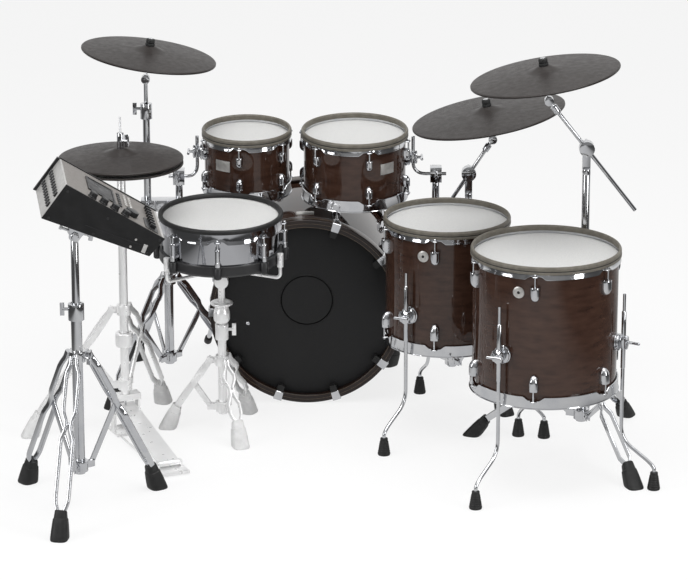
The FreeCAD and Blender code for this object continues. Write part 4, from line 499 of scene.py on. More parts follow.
def rod_key(low):
    """Square head of a rod."""
    return prism(eased(corners(2.9, 2.9), 0.8, 2), low, low + 4.6)


def squarish(count, power):
    """Cosines and sines of a full turn to a power below 1, which pushes a circle out towards a square."""
    waves = np.cos(full_turn(count)), np.sin(full_turn(count))
    return [np.sign(wave) * np.abs(wave) ** power for wave in waves]


def lug(radius, width, tall, out):
    """Cast lug with its flat end at height 0. Its section is half a rounded oblong, which shrinks over the
    lower half as a quarter ellipse does."""
    share = np.array([0.002, 0.02, 0.06, 0.13, 0.22, 0.34, 0.5, 0.8, 0.97, 1.0, 1.0])[:, None]
    full = np.sqrt(np.clip(1 - np.clip(1 - share / 0.5, 0, 1) ** 2, 0, 1))
    full[-2:, 0] *= (0.97, 0.9)
    cosine, sine = squarish(28, 0.7)
    front = sine * np.where(sine > 0, out, 4)
    rings = np.broadcast_arrays(radius + full * front, full * -cosine * width / 2, (share - 1) * tall)
    return [skin(np.stack(rings, -1))]


def hoop_end(radius, show, lug_width, lug_tall, azimuths, rise, lap):
    """Hoop with its ears, and rods with their lugs, at one end of a shell whose edge is at height 0."""
    low = notch_tall - lap
    bar = turned([(2.6, -show - 4), (2.6, 3), (5.4, 3), (5.4, 4.2), (3.4, 4.4)], False, 20)
    rod = set_at(bar + rod_key(4.4), (radius + rod_out, 0, low))
    cast = raised(lug(radius, lug_width, lug_tall, 8 + lug_width / 2), low - show)
    hoop = notched_hoop(radius, rise, lap, azimuths) + around(hoop_ear(radius, low), azimuths)
    return hoop, around(rod + cast, azimuths)


first_lugs = {"tom_10": -98, "tom_12": -75, "floor_tom_14": -102, "floor_tom_16": -101}
# Length of the upper and the lower rods that shows, then the width and height of a lug
rack_lugs, floor_lugs = (24, 20, 21, 34), (28, 29, 28, 46)
tom_fittings = {}
for tom, (radius, depth) in tom_sizes.items():
    top_show, low_show, *lug_size = floor_lugs if tom.startswith("floor") else rack_lugs
    azimuths = evenly(first_lugs[tom], 6)
    top_hoop, top_rods = hoop_end(radius, top_show, *lug_size, azimuths, rise=20, lap=12)
    low_hoop, low_rods = hoop_end(radius, low_show, *lug_size, azimuths, rise=14, lap=22)
    bead = turned(shifted([(4, 11), (7.2, 10.4), (8, 12), (7.4, 13.6), (4, 14.2)], radius))
    hoops = raised(top_hoop, depth) + flipped(low_hoop + bead)
    tom_fittings[tom] = raised(top_rods, depth) + flipped(low_rods)
    build_on_tom(tom, "steel_hoops", hoops, chrome, "hoops")


# Brackets, arms and sensors of the toms
# A ribbed chrome disc on the shell holds a clamp with a star-shaped nut and a T-handle. Legs slide through
# those of the floor toms; a bent arm hangs each rack tom. A beam across the inside carries a foam cone.
stand_off, leg_bore, arm_bore = 22, 7, 5.3


def circle(radius, count=20):
    """Points spaced evenly round a circle."""
    turn = full_turn(count)
    return np.column_stack([np.cos(turn), np.sin(turn)]) * radius


def swept(path, side, section):
    """Section carried along a flat path: side points across the path's plane, and the section's other axis
    stays square to the path."""
    path = np.array(path, float)
    run = np.gradient(path, axis=0)
    run /= np.linalg.norm(run, axis=1, keepdims=True)
    other = np.cross(run, side)[:, None]
    return [skin(path[:, None] + section[:, :1] * np.array(side, float) + section[:, 1:] * other)]


def bent(stops, radius, steps=6):
    """Open path with its inner corners rounded."""
    radii = [0] + [radius] * (len(stops) - 2) + [0]
    return eased(stops, radii, steps)[steps:-steps]


def shell_bracket(radius, bore, handle_turn):
    """Bracket at azimuth 0 with its middle at height 0, for a rod that stands off from the shell."""
    disc = turned([(24, 0), (25.5, 1.5), (25.5, 5), (23, 6.5), (23, 8), (24.5, 9), (24.5, 12), (20, 14.5),
                   (11, 15)], False, 48)
    star = turned([(12, 6), (18.5, 7), (19.5, 9), (19.5, 12), (16, 14), (6, 14.5), (4.2, 15), (4.2, 27)],
                  False, 64, lobes=8, lobe=0.05)
    bar = turned([(2.5, -22), (4.2, -20), (4.2, 20), (2.5, 22)], False, 16)
    handle = raised(set_at(bar, axis="X", degrees=handle_turn), 27)
    clamp = square_ring(bore, bore + 6, -15, 15, 32, ease=1.5, steps=2)
    return (set_at(disc + raised(star + handle, stand_off), (radius - 1, 0, 0), "Y", 90)
            + set_at(clamp, (radius + stand_off, 0, 0)))


foam = finish("sensor_foam", (0.02, 0.02, 0.02), 0.9, bumps=(500, 4, 0.0006))
leg_azimuths = {"floor_tom_14": (-127, -14, 103), "floor_tom_16": (-127, -16, 99)}
bracket_heights = {"floor_tom_14": 105, "floor_tom_16": 135}
handle_turns = (75, 15, 60)
arm_ends = {"tom_10": (-236, 0, 30), "tom_12": (274, 0, 56)}
arm_radius, arm_bracket_height = 5.25, 108
beam_half, beam_thick, cone_tall = 15, 6, 36
for tom, (radius, depth) in tom_sizes.items():
    parts = tom_fittings[tom]
    if tom in leg_azimuths:
        for azimuth, handle_turn in zip(leg_azimuths[tom], handle_turns):
            bracket = raised(shell_bracket(radius, leg_bore, handle_turn), bracket_heights[tom])
            parts = parts + around(bracket, [azimuth])
    else:
        end = arm_ends[tom]
        upright = math.copysign(radius + stand_off, end[0])
        path = bent([(upright, 0, depth), (upright, 0, end[2]), end], 40, 10)
        arm = swept(path, (0, 1, 0), circle(arm_radius))
        bracket = raised(shell_bracket(radius, arm_bore, 90), arm_bracket_height)
        parts = parts + arm + around(bracket, [0 if upright > 0 else 180])
    build_on_tom(tom, "fittings", parts, chrome, "hardware")
    beam_reach = math.sqrt((radius - tom_ply) ** 2 - beam_half ** 2)
    beam_top = depth - cone_tall
    beam = prism(corners(beam_reach, beam_half), beam_top - beam_thick, beam_top)
    cone = turned([(20, beam_top), (8, depth)], False, 32)
    build_on_tom(tom, "sensor", beam + cone, foam)


# Floor tom legs
# Bent chrome rods in three strengths: thick where the brackets grip them, thinner at the top end. Each
# stands in a ribbed rubber foot.
foot_out, bend_high, bend_low = 105, 132, 70
leg_radius = 5.4


def leg(top, grip):
    """Leg at azimuth 0 whose upper stretch stands on the origin: straight down, out to the foot and down into
    it. Grip is the height of the bracket's middle."""
    path = bent([(0, 0, grip), (0, 0, bend_high), (foot_out, 0, bend_low), (foot_out, 0, 40)], 40, 8)
    sleeve = turned([(leg_radius, grip - 76), (6.6, grip - 74), (6.6, grip + 89), (5.6, grip + 91),
                     (4.4, grip + 92), (4.4, top)], False, 24)
    return swept(path, (0, 1, 0), circle(leg_radius)) + sleeve


def rubber_foot():
    """Cone that narrows from its base to its neck, with ribs as a cosine of the height."""
    height = np.linspace(7, 40, 45)
    ribbed = np.column_stack([17.9 - (height - 7) * 0.16 + 0.5 * np.cos(height * 2 * math.pi / 6.6), height])
    return turned([(13, 0), (17.5, 0.8), (18.4, 4), *ribbed, (11.5, 42), (10.8, 51), (9, 52)], False, 40)


leg_tops, leg_twists = {"floor_tom_14": 524, "floor_tom_16": 560}, (0, -14, 0)
legs, feet = [], []
for tom, azimuths in leg_azimuths.items():
    x, y, low = tom_places[tom]
    reach = tom_sizes[tom][0] + stand_off
    for azimuth, twist in zip(azimuths, leg_twists):
        c, s = cosine_sine(azimuth)
        spot = (x + reach * c, y + reach * s, 0)
        legs += set_at(leg(leg_tops[tom], low + bracket_heights[tom]), spot, "Z", azimuth + twist)
        feet += set_at(set_at(rubber_foot(), (foot_out, 0, 0)), spot, "Z", azimuth + twist)
build("floor_tom_rods", legs, chrome, "kit", "floor_tom_legs")
build("floor_tom_feet", feet, black_rubber, "kit")


# Vents and name plates of the toms
# Pale washers round the vent holes of the floor toms, each with a black plug as painted shade for its hole,
# and plain silver plates, bent to the shell, on the rack toms.
satin_silver = finish("satin_silver", (0.55, 0.54, 0.52), 0.35, metal=0.8,
                      tones=(120, (0.48, 0.47, 0.45), (0.60, 0.59, 0.57)), gloss=(60, 0.28, 0.42))


def name_plate(radius, wide, tall):
    """Flat section carried along an arc of the shell at azimuth 0."""
    turn = np.linspace(-wide / 2 / radius, wide / 2 / radius, 25)
    path = np.column_stack([np.cos(turn), np.sin(turn), 0 * turn]) * (radius + 0.7)
    return swept(path, (0, 0, 1), eased(corners(tall / 2, 0.9), 0.4, 2))


for tom, azimuth, drop in (("tom_10", -123, 60), ("tom_12", -51, 61)):
    radius, depth = tom_sizes[tom]
    plate = around(raised(name_plate(radius, wide=49, tall=33), depth - drop), [azimuth])
    build_on_tom(tom, "name_plate", plate, satin_silver)
vent_drop = 52
washer = turned([(16.5, -2), (16.5, 1.6), (15, 2.6), (6.5, 2.8), (5.2, 2.2)], False, 40)
# The black plug in each washer is painted shade, where the open hole shows the dark inside of the drum.
hole = turned([(4.2, 0), (4.2, 2.6), (3.4, 3)], False, 24)
for tom, azimuth in (("floor_tom_14", -114), ("floor_tom_16", -114.6)):
    radius, depth = tom_sizes[tom]
    for name, surfaces, material in (("vent", washer, satin_silver), ("vent_hole_shade", hole, black_rubber)):
        seat = around(set_at(surfaces, (radius, 0, depth - vent_drop), "Y", 90), [azimuth])
        build_on_tom(tom, name, seat, material)


# Kick shell
# The same lacquered walnut, lying on its side; its far end is raised 2.2 degrees by the spurs.
kick_lean, kick_ply = 2.2 - 90, 8
kick_radius, kick_depth, kick_place = drum_of("kick_shell", kick_lean)


def on_kick(surfaces):
    """From the kick's own frame, with the shell's near edge at height 0, to its place."""
    return set_at(surfaces, kick_place, "X", kick_lean)


def build_on_kick(name, surfaces, material, *replaced):
    """Piece of the kick from the kick's own frame."""
    build(name, on_kick(surfaces), material, "kit", *replaced)


kick_walnut = lacquered_walnut("kick_walnut", (1, 3.5, 1))
shell = drum_shell(kick_radius, kick_depth, kick_ply, slant=3, count=360)
build_on_kick("kick_plies", shell, kick_walnut, "kick_shell")


# Kick hoops
# Maple hoops stained almost black under a gloss lacquer, with thin inlaid lines of brass colour. The face
# reaches in over the edge of the head.
dark_hoop = finish("dark_hoop", (0.012, 0.007, 0.005), 0.35, coat=0.6, shine=0.1,
                   tones=(6, (0.008, 0.0042, 0.003), (0.019, 0.0098, 0.0068), (1, 6, 1), 8))
inlay = finish("hoop_inlay", (0.11, 0.075, 0.045), 0.4,
               tones=(40, (0.085, 0.057, 0.034), (0.135, 0.093, 0.057)), gloss=(80, 0.25, 0.45))
hoop_in, hoop_out = kick_radius + 2, kick_radius + 10.6
face_in, hoop_face = kick_radius - 14, -22


def both_ends(surfaces):
    """Surfaces at the near end of the kick and their mirror image at the far end."""
    return surfaces + raised(flipped(surfaces), kick_depth)


rim = turned(eased([(face_in, hoop_face), (hoop_out, hoop_face), (hoop_out, 18), (hoop_in, 18), (hoop_in, -5),
                    (face_in, -5)], (3, 2.5, 2.5, 1, 1, 1)), count=360)
lines = square_ring(hoop_out - 1, hoop_out + 0.15, -4, -1.5, 360)
for start in (face_in + 2, face_in + 13):
    lines += square_ring(start, start + 0.8, hoop_face - 0.2, hoop_face + 2, 360)
build_on_kick("kick_wood_hoops", both_ends(rim), dark_hoop, "kick_hoops")
build_on_kick("kick_hoop_lines", both_ends(lines), inlay)


# Kick heads
# A matt black batter mesh with a round patch, which a gap and a thin lip surround, and a closed black
# head at the far end. A near-black ring in the gap is painted shade.
black_mesh = finish("black_mesh", (0.012, 0.012, 0.0125), 0.62, shine=0.3, bumps=(1200, 1, 0.0002),
                    tones=(700, (0.009, 0.009, 0.0095), (0.016, 0.016, 0.0165), (1, 1, 1), 2))
painted_patch_shade = finish("patch_shade_ring", (0.0015, 0.0015, 0.0015), 0.85, shine=0.1,
                   bumps=(900, 1, 0.0002))
patch_spot = (0, -32, 0)
batter = turned(shifted([(-2, -3), (-0.5, -2.5), (-0.2, 0)], kick_radius), False, 360)
patch = turned([(74, -4), (74.6, -3.8), (75, -2.5)], False, 120)
lip = turned([(78, -2.8), (78.4, -4.6), (79.4, -5), (80.2, -4.4), (80.6, -2.8)], count=120)
# The near-black ring in the gap is painted shade between the patch and its lip.
gap = square_ring(74.4, 78.6, -3.7, -2.8, 120)
build_on_kick("kick_patch_shade_ring", set_at(gap, patch_spot), painted_patch_shade)
skins = batter + set_at(patch + lip, patch_spot) + raised(flipped(batter), kick_depth)
build_on_kick("kick_skins", skins, black_mesh, "kick_heads")


# Kick claws, rods and lugs
# Each claw is a cast block on the hoop's face with two ribs over the hoop, which close up to the eye of its
# rod. The rod runs to a cast lug on the shell, and a black rubber pad keeps the block off the wood.
rod_reach = kick_radius + 8.5
spur_in, lug_in, badge_in = kick_depth - 60, 88, 78
stud_spot = (-177, 42, 0)
spur_azimuths = {"right": 20, "left": 160}


def claw():
    """Claw at azimuth 0: an oblong block, and two bars that run together like the legs of an A."""
    plan = shifted([(-24, -12), (3.8, -13.5), (3.8, 13.5), (-24, 12)], hoop_out)
    block = prism(eased(plan, 2.5, 3), hoop_face - 4, hoop_face + 2, 1)
    section = eased(corners(3, 2.2), 1.8, 3)
    ribs = []
    for side in (-1, 1):
        path = bent([(hoop_out + 1.6, 10 * side, hoop_face - 2), (hoop_out + 1.6, 9 * side, 10),
                     (rod_reach, 3.4 * side, 26)], 12)
        ribs += swept(path, (0, 1, 0), section)
    eye = turned([(4, 18), (7.2, 19), (7.2, 25), (4, 26)], False, 24)
    return block + ribs + set_at(eye, (rod_reach, 0, 0))


claw_azimuths = evenly(108, 10)
bar = set_at(turned([(3.2, 24), (3.2, 90)], False, 16), (rod_reach, 0, 0))
cast = raised(flipped(lug(kick_radius, width=26, tall=48, out=15)), lug_in)
end = around(claw() + bar + cast, claw_azimuths)
plate = turned([(25, 0), (26, 1), (26, 7), (24.5, 8)], False, 40)
plates = around(set_at(plate, (kick_radius, 0, spur_in), "Y", 90), spur_azimuths.values())
stud = set_at(turned([(2, -7), (3.5, -6.5), (5.5, -5), (6, -2.5)], False, 24), stud_spot)
badge = around(raised(name_plate(kick_radius, wide=52, tall=30), badge_in), [-91])
build_on_kick("kick_name_plate", badge, satin_silver)
build_on_kick("kick_claws", both_ends(end) + plates + stud, chrome, "kick_hardware")
plan = shifted([(-43, -10), (-23, -11), (-23, 11), (-43, 10)], hoop_out)
cushion = prism(eased(plan, 3), hoop_face - 3, -6)
build_on_kick("kick_claw_pads", both_ends(around(cushion, claw_azimuths)), black_rubber)
kick_beam_half, foam_tall = 30, 42
beam_reach = math.sqrt((kick_radius - kick_ply) ** 2 - kick_beam_half ** 2)
block = set_at(turned([(75, 0), (75, foam_tall)], False, 64), patch_spot)
beam = prism(corners(kick_beam_half, beam_reach), foam_tall, foam_tall + 8)
build_on_kick("kick_sensor", block + beam, foam)


# Kick spurs
# Round chrome legs on turning heads, which fold back along the shell. Black rubber tips stand on the floor.
spur_pitch, spur_spread, tip_radius = math.radians(49), 11, 12
for name, side in (("left", -1), ("right", 1)):
    body = f"kick_spur_{name}"
    hub = turned([(14, 0), (18, 2), (18, 16), (14, 18)], False, 40)
    hub = on_kick(around(set_at(hub, (rod_reach, 0, spur_in), "Y", 90), [spur_azimuths[name]]))
    middle = hub[0][0].mean(0)
    reach = (middle[2] - tip_radius * math.sin(spur_pitch)) / math.cos(spur_pitch)
    bar = turned([(7, 0), (7, reach - 29)], False, 24)
    tip = turned([(8, -31), (11, -29), (tip_radius, -24), (tip_radius, -1), (11.2, 0)], False, 32)
    bar, tip = [set_at(set_at(part, axis="X", degrees=180 + math.degrees(spur_pitch)), middle,
                       "Z", -spur_spread * side) for part in (bar, raised(tip, reach))]
    build(f"{body}_bar", hub + bar, chrome, body, body)
    build(f"{body}_tip", tip, black_rubber, body)


# Snare
# A mirror-plated shell on a black moulded base, with a thin black rim, a chrome hoop and eight tube lugs.
snare_lean = 2
snare_base, snare_top, snare_edge = 34, 121, 127
head_low, head_high = box_of("snare_head")
snare_radius = (head_high[0] - head_low[0]) / 2 - 1.6
snare_place = (head_low + head_high) / 2 - up_of(snare_lean) * (snare_top + 1.25)
snare_azimuths = evenly(-91, 8)


def build_on_snare(name, surfaces, material, *replaced):
    """Piece of the snare from its own frame, with the base's underside at height 0."""
    build(name, set_at(surfaces, snare_place, "X", snare_lean), material, "kit", *replaced)


mirror_plate = finish("snare_plate", (0.46, 0.465, 0.485), 0.06, metal=1.0,
                      gloss=(30, 0.03, 0.09))
wall = square_ring(snare_radius - 4, snare_radius, snare_base, snare_edge, ease=1)
band = raised(notched_hoop(snare_radius, rise=16, lap=24, azimuths=snare_azimuths), snare_top)
ears = around(hoop_ear(snare_radius, snare_top - 14), snare_azimuths)
build_on_snare("snare_metal", wall + band + ears, mirror_plate, "snare_shell")
black_plastic = finish("black_plastic", (0.014, 0.014, 0.015), 0.4,
                       tones=(30, (0.010, 0.010, 0.011), (0.020, 0.020, 0.021)), bumps=(1500, 1, 0.00008))
base_out = snare_radius + 8
base_in = base_out - 16
tray = turned(eased([(0.5, 0), (base_out - 6, 0), (base_out, 8), (base_out, snare_base),
                     (base_in, snare_base), (base_in, 4), (0.5, 4)], 2.5, 3))
boss = turned([(9, 0), (11.5, 3), (12, snare_base - 2), (10.5, snare_base)], False, 32)
bosses = around(set_at(boss, (snare_radius + rod_out, 0, 0)), snare_azimuths)
build_on_snare("snare_tray", tray + bosses, black_plastic, "snare_base")
tube = turned([(5, 33), (7, 34), (8, 36), (8, 50), (7.2, 51), (7.2, 81), (8, 82), (8, 87), (7, 89), (3, 90),
               (2.6, 90.5), (2.6, 110), (5.4, 110), (5.4, 111.2), (3.4, 111.4)], False, 24)
foot = prism(eased(shifted([(-1, -5), (10, -5), (10, 5), (-1, 5)], snare_radius), 1), 43, 52)
lugs = set_at(tube + rod_key(111.4), (snare_radius + rod_out, 0, 0)) + foot + raised(foot, 37)
build_on_snare("snare_lugs", around(lugs, snare_azimuths), chrome, "snare_hardware")
cone = turned([(20, 4), (16, snare_top)], False, 40)
build_on_snare("snare_sensor", cone, foam)
outline = [(-5, 10), (1.8, 10), (1.8, 16), (6.2, 16), (6.2, 9), (9, 9), (9, 18), (6, 22), (-1, 22), (-5, 16)]
cover = raised(turned(eased(shifted(outline, snare_radius), 2, 3)), snare_top)
build_on_snare("snare_rim_cover", cover, black_rubber, "snare_rim")
build_on_snare("snare_mesh", raised(head(snare_radius), snare_edge), white_mesh, "snare_head")


# Cymbal pads
# Warm dark grey rubber over a stiff core, satin, with fine lathe-like rings. The low bell flares into the
# bow, and felts sit above and below it.
cymbal_rubber = finish("cymbal_rubber", (0.019, 0.0155, 0.014), 0.4, shine=0.26,
                       tones=(9, (0.0165, 0.0133, 0.012), (0.0215, 0.0176, 0.0160)), gloss=(60, 0.36, 0.48))
seat_radius, bell_radius, bell_rise, bow_fall = 17, 58, 13, 14
pad_thick = 6


def lathe_rings(material, pitch, depth):
    """Fine grooves round a pad, from the distance to its axis that the mesh carries."""
    tree = tree_of(material)
    reach = add_node(tree, "ShaderNodeAttribute", attribute_name="reach")["Fac"]
    scaled = add_node(tree, "ShaderNodeMath", {0: reach, 1: 2 * math.pi / pitch}, operation="MULTIPLY")[0]
    relief(material, add_node(tree, "ShaderNodeMath", {0: scaled}, operation="SINE")[0], depth)


lathe_rings(cymbal_rubber, 0.004, 0.00012)


def pad_height(reach, rim):
    """Underside of a pad: the bow falls to the rim a little faster as it nears it, and the bell rises from it
    in a flare that steepens towards its flat seat."""
    bell = bell_rise * np.clip((bell_radius - reach) / (bell_radius - seat_radius), 0, 1) ** 1.7
    return bell + bow_fall * (1 - np.clip((reach - bell_radius) / (rim - bell_radius), 0, 1) ** 1.3)


def cymbal_pad(rim):
    """Underside, rounded edge and top of a pad, carried once round Z. The top follows the underside."""
    reach = np.concatenate([[6.5, seat_radius], np.linspace(seat_radius + 1, bell_radius, 16),
                            np.linspace(bell_radius + 2, rim - 3, 40)])
    low = np.column_stack([reach, pad_height(reach, rim) + 0.2])
    edge = np.array([(rim - 1, 0.1), (rim, 1.4), (rim, 4.2), (rim - 1.2, 5.6)])
    high = np.column_stack([reach, pad_height(reach, rim) + pad_thick])[::-1]
    return turned(np.concatenate([low, edge, high]))


def build_pad(name, surfaces, axis_place, axis_up, body, *replaced):
    """Pad with the distance of each point from its axis, in metres, for its rings."""
    piece = build(name, surfaces, cymbal_rubber, body, *replaced)
    points = np.concatenate([surface[0] for surface in surfaces]) - np.array(axis_place)
    reach = np.linalg.norm(points - (points @ axis_up)[:, None] * axis_up, axis=1) * 0.001
    piece.data.attributes.new("reach", "FLOAT", "POINT").data.foreach_set("value", reach.astype(np.float32))


felt = finish("cymbal_felt", (0.015, 0.015, 0.015), 0.95, bumps=(400, 4, 0.0005))
washer = square_ring(5.5, 14, 0, 8, 40, ease=2)
cap = turned([(11, 42), (12.5, 43), (12.5, 51.4), (11, 54.2), (8, 55.6)], False, 40, lobes=6, lobe=0.03)
for cymbal, holder, roll in (("crash_left", "crash_left_rod", 8.3), ("ride", "ride_boom", -10.5),
                             ("crash_right", "crash_right_boom", -9.4)):
    low, high = box_of(cymbal)
    rim = (high[1] - low[1]) / 2
    c, s = cosine_sine(roll)
    up = np.array([s, 0, c])
    place = np.array([(low[0] + high[0]) / 2 - pad_thick / 2 * up[0], (low[1] + high[1]) / 2,
                      low[2] + rim * abs(up[0])])
    build_pad(f"{cymbal}_pad", set_at(cymbal_pad(rim), place, "Y", roll), place, up, cymbal, cymbal)
    felts = raised(washer, 19) + raised(washer, 33)
    build(f"{cymbal}_felts", set_at(felts, place, "Y", roll), felt, cymbal)
    build(f"{cymbal}_nut_cap", set_at(cap, place, "Y", roll), black_rubber, holder, slot="cymbal_rubber")


# Hi-hat pads
# Two smaller pads, the lower one upside down; only the upper one moves.
low, high = box_of("hihat_top_cymbal")
rim = (high[1] - low[1]) / 2
middle = np.array([(low[0] + high[0]) / 2, (low[1] + high[1]) / 2, low[2]])
under = np.array([middle[0], middle[1], box_of("hihat_bottom_cymbal")[1][2]])
up = np.array([0.0, 0.0, 1.0])
build_pad("hihat_upper_pad", set_at(cymbal_pad(rim), middle), middle, up, "hihat_top", "hihat_top_cymbal")
build_pad("hihat_lower_pad", set_at(flipped(cymbal_pad(rim)), under), under, up, "kit", "hihat_bottom_cymbal")


# Stands
# Chromed steel tubes, flat-bar legs, braces and clamps, with rounded edges. The snare's and the hi-hat's are
# of a pale satin plate, with thick collars.
pale_metal = finish("pale_metal", (0.88, 0.88, 0.88), 0.32, metal=0.55,
                    tones=(14, (0.82, 0.82, 0.82), (0.92, 0.92, 0.92)), gloss=(40, 0.26, 0.4))
snare_stand, hihat_stand, module_stand = (-326, 51.6, 0), (-610, 23.6, 0), (-699, -577.4, 0)


def soft_shading():
    """Node group that shades faces smooth and keeps edges sharp that turn more than 35 degrees or where
    pieces meet."""
    group = bpy.data.node_groups.new("soft_shading", "GeometryNodeTree")
    for way in ("INPUT", "OUTPUT"):
        group.interface.new_socket("Geometry", in_out=way, socket_type="NodeSocketGeometry")
    sharp = {}
    for side, kind, output, limit in ((0, "EdgeAngle", "Unsigned Angle", math.radians(35)),
                                      (1, "EdgeNeighbors", "Face Count", 2.5)):
        pair = {0: add_node(group, f"GeometryNodeInputMesh{kind}")[output], 1: limit}
        sharp[side] = add_node(group, "FunctionNodeCompare", pair, operation="GREATER_THAN")[0]
    either = add_node(group, "FunctionNodeBooleanMath", sharp, operation="OR")[0]
    entry = add_node(group, "NodeGroupInput")[0]
    faces = add_node(group, "GeometryNodeSetShadeSmooth", {"Geometry": entry})[0]
    edges = add_node(group, "GeometryNodeSetShadeSmooth",
                     {"Geometry": faces, "Selection": either, "Shade Smooth": False}, domain="EDGE")[0]
    add_node(group, "NodeGroupOutput", {0: edges})
    return group


smooth_group = soft_shading()


def dress(node, material, ease=0.8):
    """Gives a carried-over node its finish and rounds its edges by the ease, in millimetres."""
    item = nodes[node]
    item.data.materials.clear()
    item.data.materials.append(material)
    weld = item.modifiers.new("weld", "WELD")
    weld.merge_threshold = 0.00002
    bevel = item.modifiers.new("ease", "BEVEL")
    bevel.width = ease * 0.001
    bevel.segments = 2
    bevel.limit_method = "ANGLE"
    bevel.angle_limit = math.radians(40)
    item.modifiers.new("soft_shading", "NODES").node_group = smooth_group


for node in ("cymbal_stands", "crash_left_rod", "ride_boom", "crash_right_tube", "crash_right_boom",
             "module_stand_column", "module_stand_collar", "module_tube", "hihat_pull_rod",
             "module_stand_brace_1", "module_stand_brace_2", "module_stand_brace_3"):
    dress(node, chrome)
for node in ("snare_stand", "hihat_stand", "hihat_footboard"):
    dress(node, pale_metal)
wheel = turned(eased([(10, 385), (27, 385), (33, 388), (33, 393), (27, 396), (10, 396)], 2, 3),
               count=72, lobes=18, lobe=0.012)
barrel = turned(eased([(10, 330), (17, 330), (24, 340), (24, 362), (20, 376), (20, 383), (10, 383)], 4),
                count=48)
clip = turned(eased([(14, 268), (24, 268), (26, 271), (26, 307), (24, 310), (14, 310)], 2, 3), count=48)
collars = set_at(wheel + barrel, snare_stand) + set_at(clip, hihat_stand)
build("pale_collars", collars, pale_metal, "kit")


# Boots of the tripods
# Thick rubber boots pushed over the ends of the legs, flared to a flat tread, with a step where the toe cap
# starts. Those of the snare's and the hi-hat's stand are pale.
left_stand, right_stand, front_stand = (-501, 450.6, 0), (360, 423.6, 0), (717, -123.4, 0)
pivot_out, foot_high, boot_long = 36, 16, 66
cuff_long, cuff_wide = 15, 16
tread_long, tread_wide, tread_back = 27, 25, 7


def leg_slope(collar, foot):
    """Angle of a tripod leg below level, from its pivot on the collar to its foot, just above the floor."""
    return math.atan2(collar - foot_high, foot - pivot_out)


def boot(collar, foot):
    """Boot at azimuth 0: its rings blend from one square to the leg, above the foot, to one on the floor."""
    slope = leg_slope(collar, foot)
    front, side = squarish(48, 0.65)
    upper = np.column_stack([foot - boot_long * math.cos(slope) + front * cuff_long * math.sin(slope),
                             side * cuff_wide,
                             foot_high + boot_long * math.sin(slope) + front * cuff_long * math.cos(slope)])
    lower = np.column_stack([foot - tread_back + front * tread_long, side * tread_wide, 0 * side])
    share = np.array([0, 0, 0.03, 0.26, 0.28, 0.5, 0.75, 0.92, 0.97, 1.0])[:, None, None]
    size = np.array([0.75, 0.94, 1.0, 1.0, 1.09, 1.09, 1.06, 1.03, 1.0, 0.94])[:, None, None]
    rings = (1 - share) * upper + share * lower
    middle = rings.mean(1, keepdims=True)
    rings = middle + (rings - middle) * size
    rings[..., 2] = np.maximum(rings[..., 2], 0)
    return [skin(rings)]


def boots(place, collar, foot, azimuths):
    """Boots of one stand, from its place, the height of its collar and the reach of its feet."""
    return set_at(around(boot(collar, foot), azimuths), place)


black = (boots(left_stand, 341, 275, (233, 117, 44)) + boots(right_stand, 341, 294, (-58, 58, 132))
         + boots(front_stand, 250, 342, (158, 62, -67)))
build("tripod_boots", black, black_rubber, "kit", "rubber_feet")
pale_rubber = finish("pale_rubber", (0.62, 0.62, 0.62), 0.55, shine=0.35,
                     tones=(50, (0.56, 0.56, 0.56), (0.66, 0.66, 0.66)), bumps=(900, 2, 0.00012))
pale = boots(snare_stand, 215, 172, (64, 176, -70)) + boots(hihat_stand, 380, 290, (70, 187))
build("pale_boots", pale, pale_rubber, "kit")


# Legs of the module's stand
# Each is two rounded steel bars that bow apart between their pivots and meet again in a boot.
collar_high, hub_high, foot_reach = 440, 121, 258


def bowed_leg():
    """Both bars at azimuth 0: a rounded section carried along a line that bows out between the collar, the
    brace and the boot."""
    slope = leg_slope(collar_high, foot_reach)
    length = math.hypot(collar_high - foot_high, foot_reach - pivot_out) - 60
    middle = (collar_high - hub_high) / 2 / math.sin(slope)
    near, far = 8, 18
    stops = [(-9, near), (13, near), (37, far), (middle - 37, far), (middle - 13, near), (middle + 13, near),
             (middle + 37, far), (length - 30, far), (length, near)]
    section = eased(corners(8, 4.6), 3.5)
    bars = []
    for side in (-1, 1):
        bars += swept(bent([(along, across * side, 0) for along, across in stops], 12, 5), (0, 0, 1), section)
    return set_at(bars, (pivot_out, 0, collar_high), "Y", math.degrees(slope))


for number, azimuth in enumerate((131, 35, -99), 1):
    body = f"module_stand_leg_{number}"
    build(f"{body}_bars", set_at(around(bowed_leg(), [azimuth]), module_stand), chrome, body, body)
    build(f"{body}_boot", boots(module_stand, collar_high, foot_reach, [azimuth]), black_rubber, body)


# Sound module
# A wedge housing of pale painted metal between two black side panels. Its taupe control panel faces the
# drummer, with a display, keys, faders, four knobs and a dial. Two rows of jack sockets are at the back, and
# chrome cheeks with a wing bolt hold it on its stand.
module_grey = finish("module_grey", (0.36, 0.355, 0.345), 0.42, shine=0.4,
                     tones=(70, (0.32, 0.315, 0.305), (0.40, 0.395, 0.385)), bumps=(1800, 1, 0.00006))
module_black = finish("module_black", (0.010, 0.010, 0.0105), 0.5, shine=0.25,
                      tones=(40, (0.008, 0.008, 0.0085), (0.013, 0.013, 0.0135)), bumps=(1600, 1, 0.00006))
control_black = finish("control_black", (0.012, 0.012, 0.013), 0.38, shine=0.4, gloss=(60, 0.3, 0.48))
panel_taupe = finish("panel_taupe", (0.15, 0.138, 0.128), 0.45, shine=0.4,
                     tones=(90, (0.13, 0.119, 0.11), (0.17, 0.157, 0.146)), bumps=(1800, 1, 0.00006))
dress("module_housing", module_grey, 2)
dress("module_side_panels", module_black, 1.2)
dress("module_controls", control_black)
dress("module_dial", control_black, 1.5)
module_tilt, module_yaw, module_pivot = 22.4, 8, 790
panel_rear, panel_high, panel_slope = -91, 151, 9.4
side_rear, side_low, side_out = -120, 44, -140
side_long, side_lean, side_tall, side_fall = 309, 29, 107, 50


